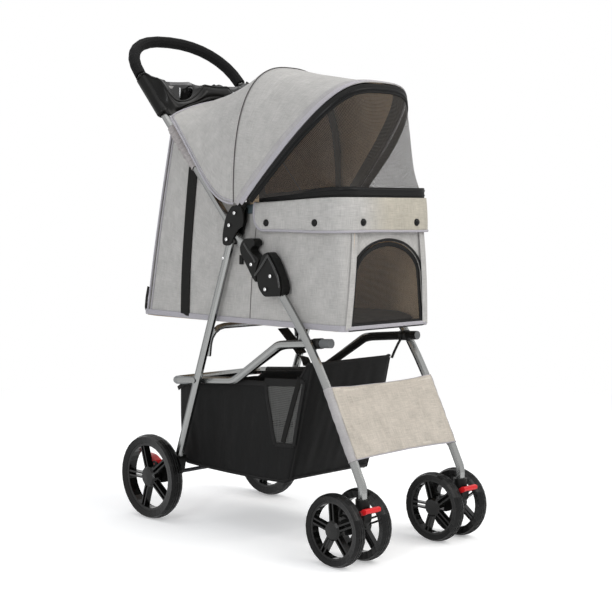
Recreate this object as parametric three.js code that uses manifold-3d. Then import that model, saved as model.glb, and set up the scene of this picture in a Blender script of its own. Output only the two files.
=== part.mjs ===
// Folding four-wheel pet stroller.
// Millimetres. Z is up from the floor, -Y is the front, +X is the pusher's left.
// While the pieces are built, Y is measured rearwards from the front axle; the whole
// assembly is centred on its footprint at the end. Every piece is one closed solid.

import * as THREE from 'three';
import { mergeVertices } from 'three/addons/utils/BufferGeometryUtils.js';
import Module from 'manifold-3d';

const wasm = await Module();
wasm.setup();

// ---------------------------------------------------------------- driving dimensions

const gap = 0.3; // clearance between pieces that touch
const tubeRadius = 8; // handle, legs and basket frame
const cabinHalfWidth = 114;
const legStandoff = 21; // from the cabin's side to the centre planes of the handle tubes and legs
const legX = cabinHalfWidth + legStandoff;
const basketX = legX - 2 * tubeRadius - 1; // centre planes of the basket tubes, just inside the legs
const tubeFacets = 10;
const bore = (tubeRadius + gap) / Math.cos(Math.PI / tubeFacets); // a hole whose flats clear the tube

const frontWheelRadius = 65;
const frontWheelWidth = 24;
const rearWheelRadius = 85;
const rearWheelWidth = 28;
const wheelbase = 527;
const frontWheelOffset = 34; // each front wheel's centre, from its leg's plane
const rearWheelStandoff = 27; // from the leg's plane to the wheel's
const rearWheelX = legX + rearWheelStandoff;
const casterTrail = 34;
const axleRadius = 4;

// pivots of the folding frame, as (Y, Z)
const latchPivot = [203, 478]; // handle tube to front leg
const rearPivot = [310, 569]; // bracket to rear leg
const basketRearPivot = [416, 289]; // rear leg to basket tube
const basketFrontPivot = [98, 382.5]; // front leg to basket tube
const pivotPinRadius = 4;

// handle
const handleBend = [587, 898]; // where the straight tube turns into the grip's arch
const gripReach = 115; // how far the arch goes on past the bend
const gripSquareness = 2.3; // superellipse exponent of the arch
const gripRadius = 12;

// cabin
const cabinWall = 3;
const cabinFloorZ = 410;
const cabinFrontY = 32;
const cabinRearY = 608;
const cabinRimZ = 655;
const cabinTopY = 517;
const cabinTopZ = 800;
const cabinCorner = 9; // radius of the upright corners
const doorHalfWidth = cabinHalfWidth - 12;
const doorShoulder = cabinHalfWidth - 22;
const doorShoulderZ = 503;
const doorTopZ = 568;
const doorGap = 1;
const rimTubeRadius = 4; // half the thickness of the flat rim tube
const rimTubeX = cabinHalfWidth + gap + rimTubeRadius;
const rimTubeRearY = 292; // it ends against the brackets' inner plates
const rimTubeLowZ = 618;
const rimTubeHighZ = 636;
const flapTopZ = 651;
const flapBottomZ = 586;
const flapRearRound = 26;
const flapRearY = 258;
const flapThickness = 2;

// canopy
const canopyPivot = [287, 619];
const fabric = 2;
const canopyHalfWidth = legX + 14; // the cloth passes outside the handle tubes
const hoopRadius = 3.5;
const hoopInset = 6; // from the fabric's outer face to the hoop's centre line
const midHoopY = 288;
const midHoopTopZ = 900;
const midHoopSquareness = 2.65;
const frontHoopSquareness = 2.8;
const frontHoopLift = 0.06; // share of the superellipse cut off below the front hoop's feet
const rearArchY = 478;
const rearArchTopZ = 850;
const rearArchLowZ = 807;
const rearArchSquareness = 1.35;
const lowerEdgeDrop = 42; // how far the rear panel's side edge hangs below a straight line, at most
const screenThickness = 1.5;

// basket
const basketBagHalfWidth = basketX - tubeRadius - gap;
const basketWall = 2.5;
const basketFloorZ = 112;

// wheels
const hubCapHeight = 3;
const frontSpokeTurn = -5; // degrees, the first spoke from upright
const rearSpokeTurn = -18;
const spokeCount = 5;
const ribThickness = 3.2;
const ribSpacing = 8.5;

// ---------------------------------------------------------------- materials

function finish(color, roughness, metalness) {
  return () => new THREE.MeshStandardMaterial({ color, roughness, metalness });
}

const paintedSteel = finish(0xa9adb0, 0.35, 0.8);
const brightSteel = finish(0xc4c6c8, 0.3, 0.9);
const blackPlastic = finish(0x1c1c1d, 0.5, 0);
const glossBlack = finish(0x0c0c0d, 0.12, 0);
const foam = finish(0x1b1b1c, 0.85, 0);
const rubber = finish(0x1a1a1a, 0.75, 0);
const redPlastic = finish(0xc62828, 0.4, 0);
const greyLinen = finish(0xb0aeaa, 0.9, 0);
const beigeLinen = finish(0xc6c0b6, 0.9, 0);
const blackCloth = finish(0x19191a, 0.85, 0);
const blackMesh = finish(0x2a2a2c, 0.8, 0);

// ---------------------------------------------------------------- solids

// A closed geometry becomes a manifold solid, with its faces turned out if they pointed in.
function solid(geometry) {
  const bare = geometry.clone();
  bare.deleteAttribute('normal');
  bare.deleteAttribute('uv');
  const merged = mergeVertices(bare, 1e-4);
  const corners = merged.index.array;
  const kept = [];
  for (let i = 0; i < corners.length; i += 3) {
    const [a, b, c] = [corners[i], corners[i + 1], corners[i + 2]];
    if (a !== b && b !== c && c !== a) kept.push(a, b, c);
  }
  const build = (triVerts) => new wasm.Manifold(new wasm.Mesh({
    numProp: 3,
    vertProperties: Float32Array.from(merged.attributes.position.array),
    triVerts: Uint32Array.from(triVerts),
  }));
  const made = build(kept);
  if (made.volume() > 0) return made;
  const turned = [];
  for (let i = 0; i < kept.length; i += 3) turned.push(kept[i], kept[i + 2], kept[i + 1]);
  return build(turned);
}

function join(first, ...others) {
  return others.reduce((whole, part) => whole.add(part), first);
}

function cut(whole, ...tools) {
  return tools.reduce((rest, tool) => rest.subtract(tool), whole);
}

const assembly = new THREE.Group();

function piece(name, shape, material) {
  const { vertProperties, triVerts } = shape.getMesh();
  const geometry = new THREE.BufferGeometry();
  geometry.setAttribute('position', new THREE.BufferAttribute(Float32Array.from(vertProperties), 3));
  geometry.setIndex(Array.from(triVerts));
  geometry.computeVertexNormals();
  const mesh = new THREE.Mesh(geometry, material());
  mesh.name = name;
  assembly.add(mesh);
}

// ---------------------------------------------------------------- shapes

// An outline with its corners rounded. A corner is [u, v] or [u, v, radius]; a radius is
// held to less than half of either side it meets.
function outline(corners) {
  const shape = new THREE.Shape();
  const spots = corners.map(([u, v]) => new THREE.Vector2(u, v));
  corners.forEach(([, , radius = 0], i) => {
    const corner = spots[i];
    const previous = spots.at(i - 1);
    const next = spots[(i + 1) % spots.length];
    const reach = Math.min(radius, 0.45 * corner.distanceTo(previous), 0.45 * corner.distanceTo(next));
    const towards = (end) => end.clone().sub(corner).setLength(reach).add(corner);
    const start = radius > 0 ? towards(previous) : corner;
    if (i === 0) shape.moveTo(start.x, start.y);
    else shape.lineTo(start.x, start.y);
    if (radius > 0) {
      const stop = towards(next);
      shape.quadraticCurveTo(corner.x, corner.y, stop.x, stop.y);
    }
  });
  shape.closePath();
  return shape;
}

// A side outline in (Y, Z), given thickness across the stroller from one X to another.
const acrossX = new THREE.Matrix4().makeBasis(
  new THREE.Vector3(0, 1, 0), new THREE.Vector3(0, 0, 1), new THREE.Vector3(1, 0, 0));

function plate(corners, fromX, toX, curveSegments = 4) {
  const low = Math.min(fromX, toX);
  const depth = Math.abs(toX - fromX);
  const geometry = new THREE.ExtrudeGeometry(outline(corners), { depth, bevelEnabled: false, curveSegments });
  return solid(geometry.applyMatrix4(acrossX).translate(low, 0, 0));
}

// A plan outline in (X, Y), given height from one Z to another.
function slab(corners, fromZ, toZ, curveSegments = 4) {
  const geometry = new THREE.ExtrudeGeometry(outline(corners),
    { depth: toZ - fromZ, bevelEnabled: false, curveSegments });
  return solid(geometry.translate(0, 0, fromZ));
}

function pinAlongX([y, z], radius, fromX, toX, sides = 10) {
  const geometry = new THREE.CylinderGeometry(radius, radius, Math.abs(toX - fromX), sides);
  return solid(geometry.rotateZ(Math.PI / 2).translate((fromX + toX) / 2, y, z));
}

function postAlongZ(x, y, radius, fromZ, toZ, sides = 14) {
  const geometry = new THREE.CylinderGeometry(radius, radius, toZ - fromZ, sides);
  return solid(geometry.rotateX(Math.PI / 2).translate(x, y, (fromZ + toZ) / 2));
}

function box(fromX, toX, fromY, toY, fromZ, toZ) {
  const geometry = new THREE.BoxGeometry(Math.abs(toX - fromX), toY - fromY, toZ - fromZ);
  return solid(geometry.translate((fromX + toX) / 2, (fromY + toY) / 2, (fromZ + toZ) / 2));
}

// A profile [radius, distance along X] turned round an axle.
function turned(profile, [x, y, z], sides) {
  const points = profile.map(([r, along]) => new THREE.Vector2(r, along));
  const geometry = new THREE.LatheGeometry(points, sides);
  return solid(geometry.rotateZ(-Math.PI / 2).translate(x, y, z));
}

// A path through given stations, each a place and the direction of travel there.
class StationPath extends THREE.Curve {
  constructor(places, directions) {
    super();
    this.places = places;
    this.directions = directions ?? places.map((place, i) => {
      const before = places[Math.max(i - 1, 0)];
      const after = places[Math.min(i + 1, places.length - 1)];
      return new THREE.Vector3().subVectors(after, before).normalize();
    });
  }

  getUtoTmapping(u) {
    return u;
  }

  getPoint(t) {
    return this.places[Math.round(t * (this.places.length - 1))].clone();
  }

  getTangent(t) {
    return this.directions[Math.round(t * (this.places.length - 1))].clone();
  }
}

// A bent tube's path: straight runs joined by arcs. A corner is [x, y, z] or [x, y, z, bend radius].
function bentPath(corners, arcSteps = 4) {
  const places = [];
  const directions = [];
  const spots = corners.map(([x, y, z]) => new THREE.Vector3(x, y, z));
  corners.forEach(([, , , bend = 0], i) => {
    const last = corners.length - 1;
    const into = new THREE.Vector3().subVectors(spots[i], spots[Math.max(i - 1, 0)]).normalize();
    const out = new THREE.Vector3().subVectors(spots[Math.min(i + 1, last)], spots[i]).normalize();
    if (i === 0 || i === last || bend === 0) {
      places.push(spots[i]);
      directions.push(i === 0 ? out : into);
      return;
    }
    const turn = into.angleTo(out);
    const reach = bend * Math.tan(turn / 2);
    const axis = new THREE.Vector3().crossVectors(into, out).normalize();
    const toCentre = new THREE.Vector3().crossVectors(axis, into).setLength(bend);
    const start = spots[i].clone().addScaledVector(into, -reach);
    const centre = start.clone().add(toCentre);
    for (let k = 0; k <= arcSteps; k += 1) {
      const angle = (turn * k) / arcSteps;
      places.push(start.clone().sub(centre).applyAxisAngle(axis, angle).add(centre));
      directions.push(into.clone().applyAxisAngle(axis, angle));
    }
  });
  return new StationPath(places, directions);
}

function ring(radius, holeRadius, sides) {
  const shape = new THREE.Shape().absarc(0, 0, radius, 0, 2 * Math.PI);
  if (holeRadius > 0) shape.holes.push(new THREE.Path().absarc(0, 0, holeRadius, 0, 2 * Math.PI));
  return [shape, sides / 2];
}

function rod(path, radius, sides = tubeFacets, holeRadius = 0) {
  const [shape, curveSegments] = ring(radius, holeRadius, sides);
  const steps = path.places.length - 1;
  return solid(new THREE.ExtrudeGeometry(shape, { steps, curveSegments, extrudePath: path }));
}

// A thin closed sheet between two faces, each a function of (p, q) in 0..1 that gives a Vector3.
function sheet(outer, inner, acrossSteps, alongSteps) {
  const columns = alongSteps + 1;
  const rows = acrossSteps + 1;
  const positions = [];
  for (const face of [outer, inner]) {
    for (let i = 0; i < rows; i += 1) {
      for (let j = 0; j < columns; j += 1) positions.push(...face(i / acrossSteps, j / alongSteps).toArray());
    }
  }
  const at = (layer, i, j) => layer * rows * columns + i * columns + j;
  const faces = [];
  const quad = (a, b, c, d) => faces.push(a, b, c, a, c, d);
  for (let i = 0; i < acrossSteps; i += 1) {
    for (let j = 0; j < alongSteps; j += 1) {
      quad(at(0, i, j), at(0, i + 1, j), at(0, i + 1, j + 1), at(0, i, j + 1));
      quad(at(1, i, j), at(1, i, j + 1), at(1, i + 1, j + 1), at(1, i + 1, j));
    }
    quad(at(0, i, 0), at(1, i, 0), at(1, i + 1, 0), at(0, i + 1, 0));
    quad(at(0, i, alongSteps), at(0, i + 1, alongSteps), at(1, i + 1, alongSteps), at(1, i, alongSteps));
  }
  for (let j = 0; j < alongSteps; j += 1) {
    quad(at(0, 0, j), at(0, 0, j + 1), at(1, 0, j + 1), at(1, 0, j));
    quad(at(0, acrossSteps, j), at(1, acrossSteps, j), at(1, acrossSteps, j + 1), at(0, acrossSteps, j + 1));
  }
  const geometry = new THREE.BufferGeometry();
  geometry.setAttribute('position', new THREE.Float32BufferAttribute(positions, 3));
  geometry.setIndex(faces);
  return solid(geometry);
}

// ---------------------------------------------------------------- handle

const handleRun = new THREE.Vector2(handleBend[0] - latchPivot[0], handleBend[1] - latchPivot[1]);
const handleAngle = handleRun.angle();
const handleAlong = [Math.cos(handleAngle), Math.sin(handleAngle)];

// A place on a handle tube's centre line: its distance up the tube from the latch pivot,
// and its distance square to the tube, up and forwards.
function onHandle(along, off = 0) {
  const [c, s] = handleAlong;
  return [latchPivot[0] + along * c - off * s, latchPivot[1] + along * s + off * c];
}

const straightLength = handleRun.length();

function gripArch(steps) {
  const places = [];
  for (let k = 0; k <= steps; k += 1) {
    const angle = (Math.PI * k) / steps;
    const across = Math.sign(Math.cos(angle)) * Math.abs(Math.cos(angle)) ** (2 / gripSquareness);
    const up = Math.sin(angle) ** (2 / gripSquareness);
    const [y, z] = onHandle(straightLength + gripReach * up);
    places.push(new THREE.Vector3(-legX * across, y, z));
  }
  return places;
}

function handle() {
  const arch = gripArch(16);
  const foot = (side) => new THREE.Vector3(side * legX, ...latchPivot);
  const tube = rod(new StationPath([foot(-1), ...arch, foot(1)]), tubeRadius);
  const ends = [-1, 1].map((side) => pinAlongX(latchPivot, tubeRadius,
    side * (legX - tubeRadius + 0.5), side * (legX + tubeRadius - 0.5)));
  const holes = [-1, 1].map((side) => pinAlongX(latchPivot, pivotPinRadius + gap,
    side * (legX - 12), side * (legX + 12)));
  piece('handle_frame', cut(join(tube, ...ends), ...holes), paintedSteel);
  piece('foam_grip', rod(new StationPath(arch), gripRadius, 12, bore), foam);
}

// ---------------------------------------------------------------- cup tray

const tray = {
  earStart: 440,
  earRadius: 13.5,
  wall: 3.4,
  halfWidth: legX - tubeRadius - 1,
  rimZ: 882,
  topZ: 893,
  frontY: 511,
  rearY: 590,
  cupX: legX / 2 - 2,
  cupY: 545,
  cupRadius: 29,
  cupWall: 3,
  cupFloorZ: 828,
  lowZ: 812,
  lipZ: 843,
  lipRise: 26,
  dishHalfWidth: 22,
};

// The scoop below the cups: its lip dips in front of each cup and climbs at both ends into
// wings that run up the handle tubes. p goes across and q from the low edge to the lip.
function trayScoop(inset) {
  return (p, q) => {
    const u = 2 * p - 1;
    const wing = THREE.MathUtils.smoothstep(Math.abs(u), 0.8, 1);
    const x = u * (legX - 2);
    const rise = tray.lipRise * Math.cos((Math.PI / 2) * Math.min(1, Math.abs(u) / 0.55)) ** 2;
    const bulge = 5 * Math.sin(Math.PI * q) * (1 - wing);
    const low = new THREE.Vector3(x, tray.frontY + 2, tray.lowZ);
    const lip = new THREE.Vector3(x, tray.frontY - 8, tray.lipZ + rise);
    low.lerp(new THREE.Vector3(x, ...onHandle(tray.earStart, 10)), wing);
    lip.lerp(new THREE.Vector3(x, ...onHandle(straightLength - 20, 11)), wing);
    const place = low.lerp(lip, q);
    place.y += inset - bulge;
    return place;
  };
}

function parentTray() {
  const earEnd = straightLength - 2;
  const {wall, halfWidth, frontY, rearY, topZ, lowZ} = tray;
  const rim = slab([
    [-halfWidth, rearY, 8], [-halfWidth, frontY + 34, 20], [-halfWidth + 16, frontY, 14],
    [halfWidth - 16, frontY, 14], [halfWidth, frontY + 34, 20], [halfWidth, rearY, 8],
  ], tray.rimZ, topZ, 4);
  const under = plate([
    [frontY + 1, lowZ, 1], [frontY + 40, lowZ + 4, 16], [rearY - 4, lowZ + 42, 14], [rearY, topZ, 1],
    [rearY - wall, topZ, 1], [rearY - 4 - wall, lowZ + 44, 12], [frontY + 39, lowZ + 4 + wall, 14],
    [frontY + 1, lowZ + wall, 1],
  ], -halfWidth, halfWidth, 4);
  const cheek = (side) => plate([
    [rearY - 9, topZ + 4, 3], [rearY - 26, topZ, 14], [frontY + 14, topZ - 7, 8], [frontY, topZ - 9, 4],
    [frontY - 3, 870, 8], [frontY - 6, 843, 10], [frontY + 1, lowZ, 4], [frontY + 40, lowZ + 4, 16],
    [rearY - 4, lowZ + 42, 14],
  ], side * (halfWidth - wall), side * halfWidth, 4);
  const ear = (side) => rod(bentPath([
    [side * legX, ...onHandle(tray.earStart)], [side * legX, ...onHandle(earEnd)],
  ]), tray.earRadius, 14);
  const tubeHole = (side) => rod(bentPath([
    [side * legX, ...onHandle(tray.earStart - 30)], [side * legX, ...onHandle(earEnd + 30)],
  ]), bore);
  const scoop = sheet(trayScoop(0), trayScoop(wall), 32, 5);
  const holders = [-1, 1].map((side) => postAlongZ(side * tray.cupX, tray.cupY,
    tray.cupRadius + tray.cupWall, tray.cupFloorZ - tray.cupWall, tray.rimZ + 4, 28));
  const cups = [-1, 1].map((side) => postAlongZ(side * tray.cupX, tray.cupY, tray.cupRadius,
    tray.cupFloorZ, 920, 24));
  const dishPlan = (grow) => [
    [-tray.dishHalfWidth - grow, 524 - grow, 6], [tray.dishHalfWidth + grow, 524 - grow, 6],
    [tray.dishHalfWidth + grow, 568 + grow, 6], [-tray.dishHalfWidth - grow, 568 + grow, 6],
  ];
  const dishWell = slab(dishPlan(wall), 858 - wall, tray.rimZ + 4, 2);
  const dish = slab(dishPlan(0), 858, 920, 2);
  const post = postAlongZ(0, 546, 7, lowZ, 858, 12);
  const whole = join(rim, under, cheek(-1), cheek(1), ear(-1), ear(1), scoop, dishWell, post, ...holders);
  piece('parent_tray', cut(whole, ...cups, dish, tubeHole(-1), tubeHole(1)), glossBlack);
}

// ---------------------------------------------------------------- brackets at the canopy pivot

const outerPlateX = legX + tubeRadius + gap;
const innerPlateX = legX - tubeRadius - gap;

const bracket = {
  plateThickness: 3.2,
  innerThickness: innerPlateX - rimTubeX - rimTubeRadius - gap,
  rivetRadius: 4.6,
  rivetHeight: 1.8,
};

function hingeBracket(name, side) {
  const outerFace = outerPlateX + bracket.plateThickness;
  const outer = plate([
    [323, 578, 10], [314, 611, 10], [296, 633, 8], [270, 634, 8], [264, 614, 4],
    [264, 596, 5], [286, 584, 10], [300, 557, 9], [323, 557, 11],
  ], side * outerPlateX, side * outerFace, 3);
  const inner = plate([
    [322, 576, 10], [297, 632, 9], [276, 630, 8], [278, 606, 5], [297, 560, 9], [321, 558, 9],
  ], side * (innerPlateX - bracket.innerThickness), side * innerPlateX, 3);
  const through = (spot, radius) => pinAlongX(spot, radius,
    side * (innerPlateX - bracket.innerThickness), side * (outerFace + bracket.rivetHeight));
  const head = (spot) => turned([
    [0, 0], [bracket.rivetRadius, 0], [bracket.rivetRadius * 0.75, bracket.rivetHeight * side],
    [0, bracket.rivetHeight * 1.3 * side],
  ], [side * (outerFace - 0.01), ...spot], 10);
  const tubeRivet = onHandle(154, 6);
  piece(name, join(outer, inner, through(canopyPivot, pivotPinRadius), through(rearPivot, pivotPinRadius),
    head(canopyPivot), head(rearPivot), head(tubeRivet)), blackPlastic);
}

// ---------------------------------------------------------------- latch

const latch = {
  outerX: legX + 10.6,
  innerX: legX - 10.2,
  sleeveOuterX: legX + 9.9,
  sleeveInnerX: legX - 9.9,
};

function latchSleeve(name, side) {
  const body = plate([
    [231, 490, 2], [240, 498, 4], [275, 546, 8], [274, 560, 7], [263, 571, 6], [241, 572, 5], [234, 567, 3],
    [234, 559, 2], [240, 557, 2], [246, 551, 4], [243, 546, 4], [231, 539, 3], [222.5, 532, 2], [232, 511, 2],
  ], side * latch.sleeveInnerX, side * latch.sleeveOuterX, 3);
  const [low, high] = [onHandle(10), onHandle(150)];
  const slide = rod(bentPath([[side * legX, ...low], [side * legX, ...high]]), bore);
  piece(name, cut(body, slide), blackPlastic);
}

// The socket on top of a front leg: two cheeks either side of the handle tube's end,
// joined in front of it by the block that holds the leg.
const legTop = [189, 491];
const legBend = [80, 362];
const legAnkle = [-35, 138];
const legFoot = [-34, 107];

function legPath(side, below = 0) {
  const x = side * legX;
  return bentPath([
    [x, ...legTop], [x, ...legBend, 830], [x, ...legAnkle, 42], [x, legFoot[0], legFoot[1] - below],
  ], 5);
}

function legSocket(name, side) {
  const cheekOutline = [
    [210, 543, 5], [199, 546, 5], [187, 534, 6], [175, 514, 8], [166, 496, 8], [162, 483, 4],
    [165, 467, 4], [207, 464, 7], [221, 477, 7], [226, 490, 5], [228, 510, 8], [218, 530, 6],
  ];
  const outer = plate(cheekOutline, side * outerPlateX, side * latch.outerX, 3);
  const inner = plate(cheekOutline, side * latch.innerX, side * innerPlateX, 3);
  const block = plate([
    [210, 543, 5], [197, 548, 5], [183, 535, 6], [170, 514, 8], [161, 496, 8], [157, 483, 4],
    [160, 470, 4], [178, 468], [194, 484], onHandle(4, 10), onHandle(28, 10), [217, 529],
  ], side * (innerPlateX - 0.1), side * (outerPlateX + 0.1), 3);
  const legHole = rod(bentPath([
    [side * legX, legTop[0] + 3, legTop[1] + 3.6], [side * legX, ...legBend],
  ]), bore);
  const pin = pinAlongX(latchPivot, pivotPinRadius, side * latch.innerX, side * latch.outerX);
  const head = (spot) => turned([
    [0, 0], [bracket.rivetRadius, 0], [bracket.rivetRadius * 0.75, bracket.rivetHeight * side],
    [0, bracket.rivetHeight * 1.3 * side],
  ], [side * (latch.outerX - 0.01), ...spot], 10);
  piece(name, join(cut(join(outer, inner, block), legHole), pin, head(latchPivot), head([189, 503])),
    blackPlastic);
}

// ---------------------------------------------------------------- cabin

// The rear wall leans: its outer face at a height.
function cabinRearAt(z) {
  return cabinRearY + ((cabinTopY - cabinRearY) * (z - cabinFloorZ)) / (cabinTopZ - cabinFloorZ);
}

const cabinOuterSide = [
  [cabinFrontY, cabinFloorZ], [cabinRearY, cabinFloorZ], [cabinTopY, cabinTopZ],
  onHandle(430), onHandle(239), [cabinFrontY, cabinRimZ],
];

const cabinInnerSide = [
  [cabinFrontY + cabinWall, cabinFloorZ + cabinWall],
  [cabinRearAt(cabinFloorZ + cabinWall) - cabinWall, cabinFloorZ + cabinWall],
  [cabinRearAt(cabinTopZ + 50) - cabinWall, cabinTopZ + 50],
  [cabinFrontY + cabinWall, cabinTopZ + 50],
];

function cabinPlan(inset) {
  const x = cabinHalfWidth - inset;
  const r = cabinCorner;
  return [
    [-x, cabinFrontY + inset, r], [x, cabinFrontY + inset, r],
    [x, cabinRearY - inset, r], [-x, cabinRearY - inset, r],
  ];
}

function doorArch(inset) {
  const half = doorHalfWidth - inset;
  const shoulder = doorShoulder - inset;
  const shape = new THREE.Shape();
  shape.moveTo(-half, cabinFloorZ + cabinWall + inset);
  shape.lineTo(half, cabinFloorZ + cabinWall + inset);
  shape.lineTo(shoulder, doorShoulderZ);
  shape.absellipse(0, doorShoulderZ, shoulder, doorTopZ - inset - doorShoulderZ, 0, Math.PI);
  shape.closePath();
  return shape;
}

// The arch stands across the stroller, from one Y to another.
function archSolid(inset, fromY, toY) {
  const geometry = new THREE.ExtrudeGeometry(doorArch(inset),
    { depth: toY - fromY, bevelEnabled: false, curveSegments: 8 });
  return solid(geometry.rotateX(Math.PI / 2).translate(0, toY, 0));
}

function cabin() {
  const outer = plate(cabinOuterSide, -cabinHalfWidth, cabinHalfWidth)
    .intersect(slab(cabinPlan(0), cabinFloorZ, cabinTopZ + 60, 3));
  const inner = plate(cabinInnerSide, -cabinHalfWidth, cabinHalfWidth)
    .intersect(slab(cabinPlan(cabinWall), cabinFloorZ, cabinTopZ + 90, 3));
  const doorway = archSolid(0, cabinFrontY - 5, cabinFrontY + cabinWall + 5);
  piece('cabin_shell', cut(outer, inner, doorway), greyLinen);
  piece('front_door', archSolid(doorGap, cabinFrontY + 0.4, cabinFrontY + cabinWall - 0.2), blackMesh);

  const padInset = cabinWall + 3;
  const padFloor = cabinFloorZ + cabinWall + gap;
  piece('cabin_pad', slab([
    [padInset - cabinHalfWidth, cabinFrontY + padInset, 12], [cabinHalfWidth - padInset, cabinFrontY + padInset, 12],
    [cabinHalfWidth - padInset, cabinRearY - padInset - 8, 12], [padInset - cabinHalfWidth, cabinRearY - padInset - 8, 12],
  ], padFloor, padFloor + 18), blackCloth);

  const rimX = rimTubeX;
  const rimY = cabinFrontY - gap - rimTubeRadius;
  const rimBand = (grow) => slab([
    [-rimX - grow, rimY - grow, 11 + grow], [rimX + grow, rimY - grow, 11 + grow],
    [rimX + grow, rimTubeRearY], [-rimX - grow, rimTubeRearY],
  ], rimTubeLowZ, rimTubeHighZ, 3);
  const rimInside = slab([
    [rimTubeRadius - rimX, rimY + rimTubeRadius, 7], [rimX - rimTubeRadius, rimY + rimTubeRadius, 7],
    [rimX - rimTubeRadius, rimTubeRearY + 9], [rimTubeRadius - rimX, rimTubeRearY + 9],
  ], rimTubeLowZ - 5, rimTubeHighZ + 5, 3);
  piece('rim_tube', cut(rimBand(rimTubeRadius), rimInside), paintedSteel);

  const flapInner = rimX + rimTubeRadius + gap;
  const flapFrontY = rimY - rimTubeRadius - gap;
  const band = (grow, rear, low, high) => slab([
    [-flapInner - grow, flapFrontY - grow, 14], [flapInner + grow, flapFrontY - grow, 14],
    [flapInner + grow, rear], [-flapInner - grow, rear],
  ], low, high, 3);
  const sideShape = plate([
    [-20, flapBottomZ], [flapRearY, flapBottomZ, flapRearRound], [flapRearY, flapTopZ], [-20, flapTopZ],
  ], -200, 200, 4);
  piece('window_flap', cut(
    band(flapThickness, flapRearY, flapBottomZ, flapTopZ).intersect(sideShape),
    band(0, flapRearY + 20, flapBottomZ - 5, flapTopZ + 5)), greyLinen);
}

// ---------------------------------------------------------------- canopy

// A hoop: a superellipse across the stroller, standing on a side curve that gives (Y, Z) by height.
// Its lift leaves out the lowest part of the superellipse at both feet.
function hoopPlace(hoop, p, inset = 0) {
  const lift = hoop.lift ?? 0;
  const angle = Math.PI * (lift + (1 - 2 * lift) * p);
  const across = Math.sign(Math.cos(angle)) * Math.abs(Math.cos(angle)) ** (2 / hoop.squareness);
  const height = Math.min(Math.abs(Math.sin(angle)), 1) ** (2 / hoop.squareness);
  const [y, z] = hoop.side(height);
  return new THREE.Vector3(-(hoop.halfWidth - inset) * across, y, z - inset * Math.sin(Math.PI * p));
}

function bezier(points) {
  const curve = new THREE.CubicBezierCurve(...points.map(([u, v]) => new THREE.Vector2(u, v)));
  return (t) => curve.getPoint(t).toArray();
}

const frontEdgeSide = bezier([[261, 638], [348, 551], [102, 805], [47, 857]]);

// The front edge's side curve, moved back and down.
function behindFrontEdge(back, down) {
  return (t) => {
    const [y, z] = frontEdgeSide(t);
    return [y + back, z + back * 0.5 * (1 - t) - down * t];
  };
}

const hoops = {
  rear: {
    side: (t) => [rearArchY, rearArchLowZ + (rearArchTopZ - rearArchLowZ) * t],
    squareness: rearArchSquareness,
    halfWidth: canopyHalfWidth - 3,
  },
  mid: {
    side: (t) => [midHoopY, 637 + (midHoopTopZ - 637) * t],
    squareness: midHoopSquareness,
    halfWidth: canopyHalfWidth,
  },
  front: {
    side: frontEdgeSide,
    squareness: frontHoopSquareness,
    halfWidth: canopyHalfWidth + 1,
    lift: frontHoopLift,
  },
  frontWire: {
    side: behindFrontEdge(10, 6),
    squareness: frontHoopSquareness,
    halfWidth: canopyHalfWidth - hoopInset,
    lift: frontHoopLift + 0.015,
  },
  screenTop: {
    side: behindFrontEdge(0, 4.5),
    squareness: frontHoopSquareness,
    halfWidth: canopyHalfWidth - 3,
    lift: frontHoopLift,
  },
};

// The fabric between two hoops; inset moves a face in from the outer one. At its two side
// edges the panel hangs below the straight line between the hoops by up to the drop.
function betweenHoops(first, second, inset, drop = 0) {
  return (p, q) => {
    const place = hoopPlace(first, p, inset).lerp(hoopPlace(second, p, inset), q);
    const hang = drop * q ** 1.2 * (1 - q ** 6) * (1 - Math.min(1, Math.sin(Math.PI * p) * 1.6)) ** 2;
    place.y += hang * 0.738;
    place.z -= hang * 0.675;
    return place;
  };
}

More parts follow.
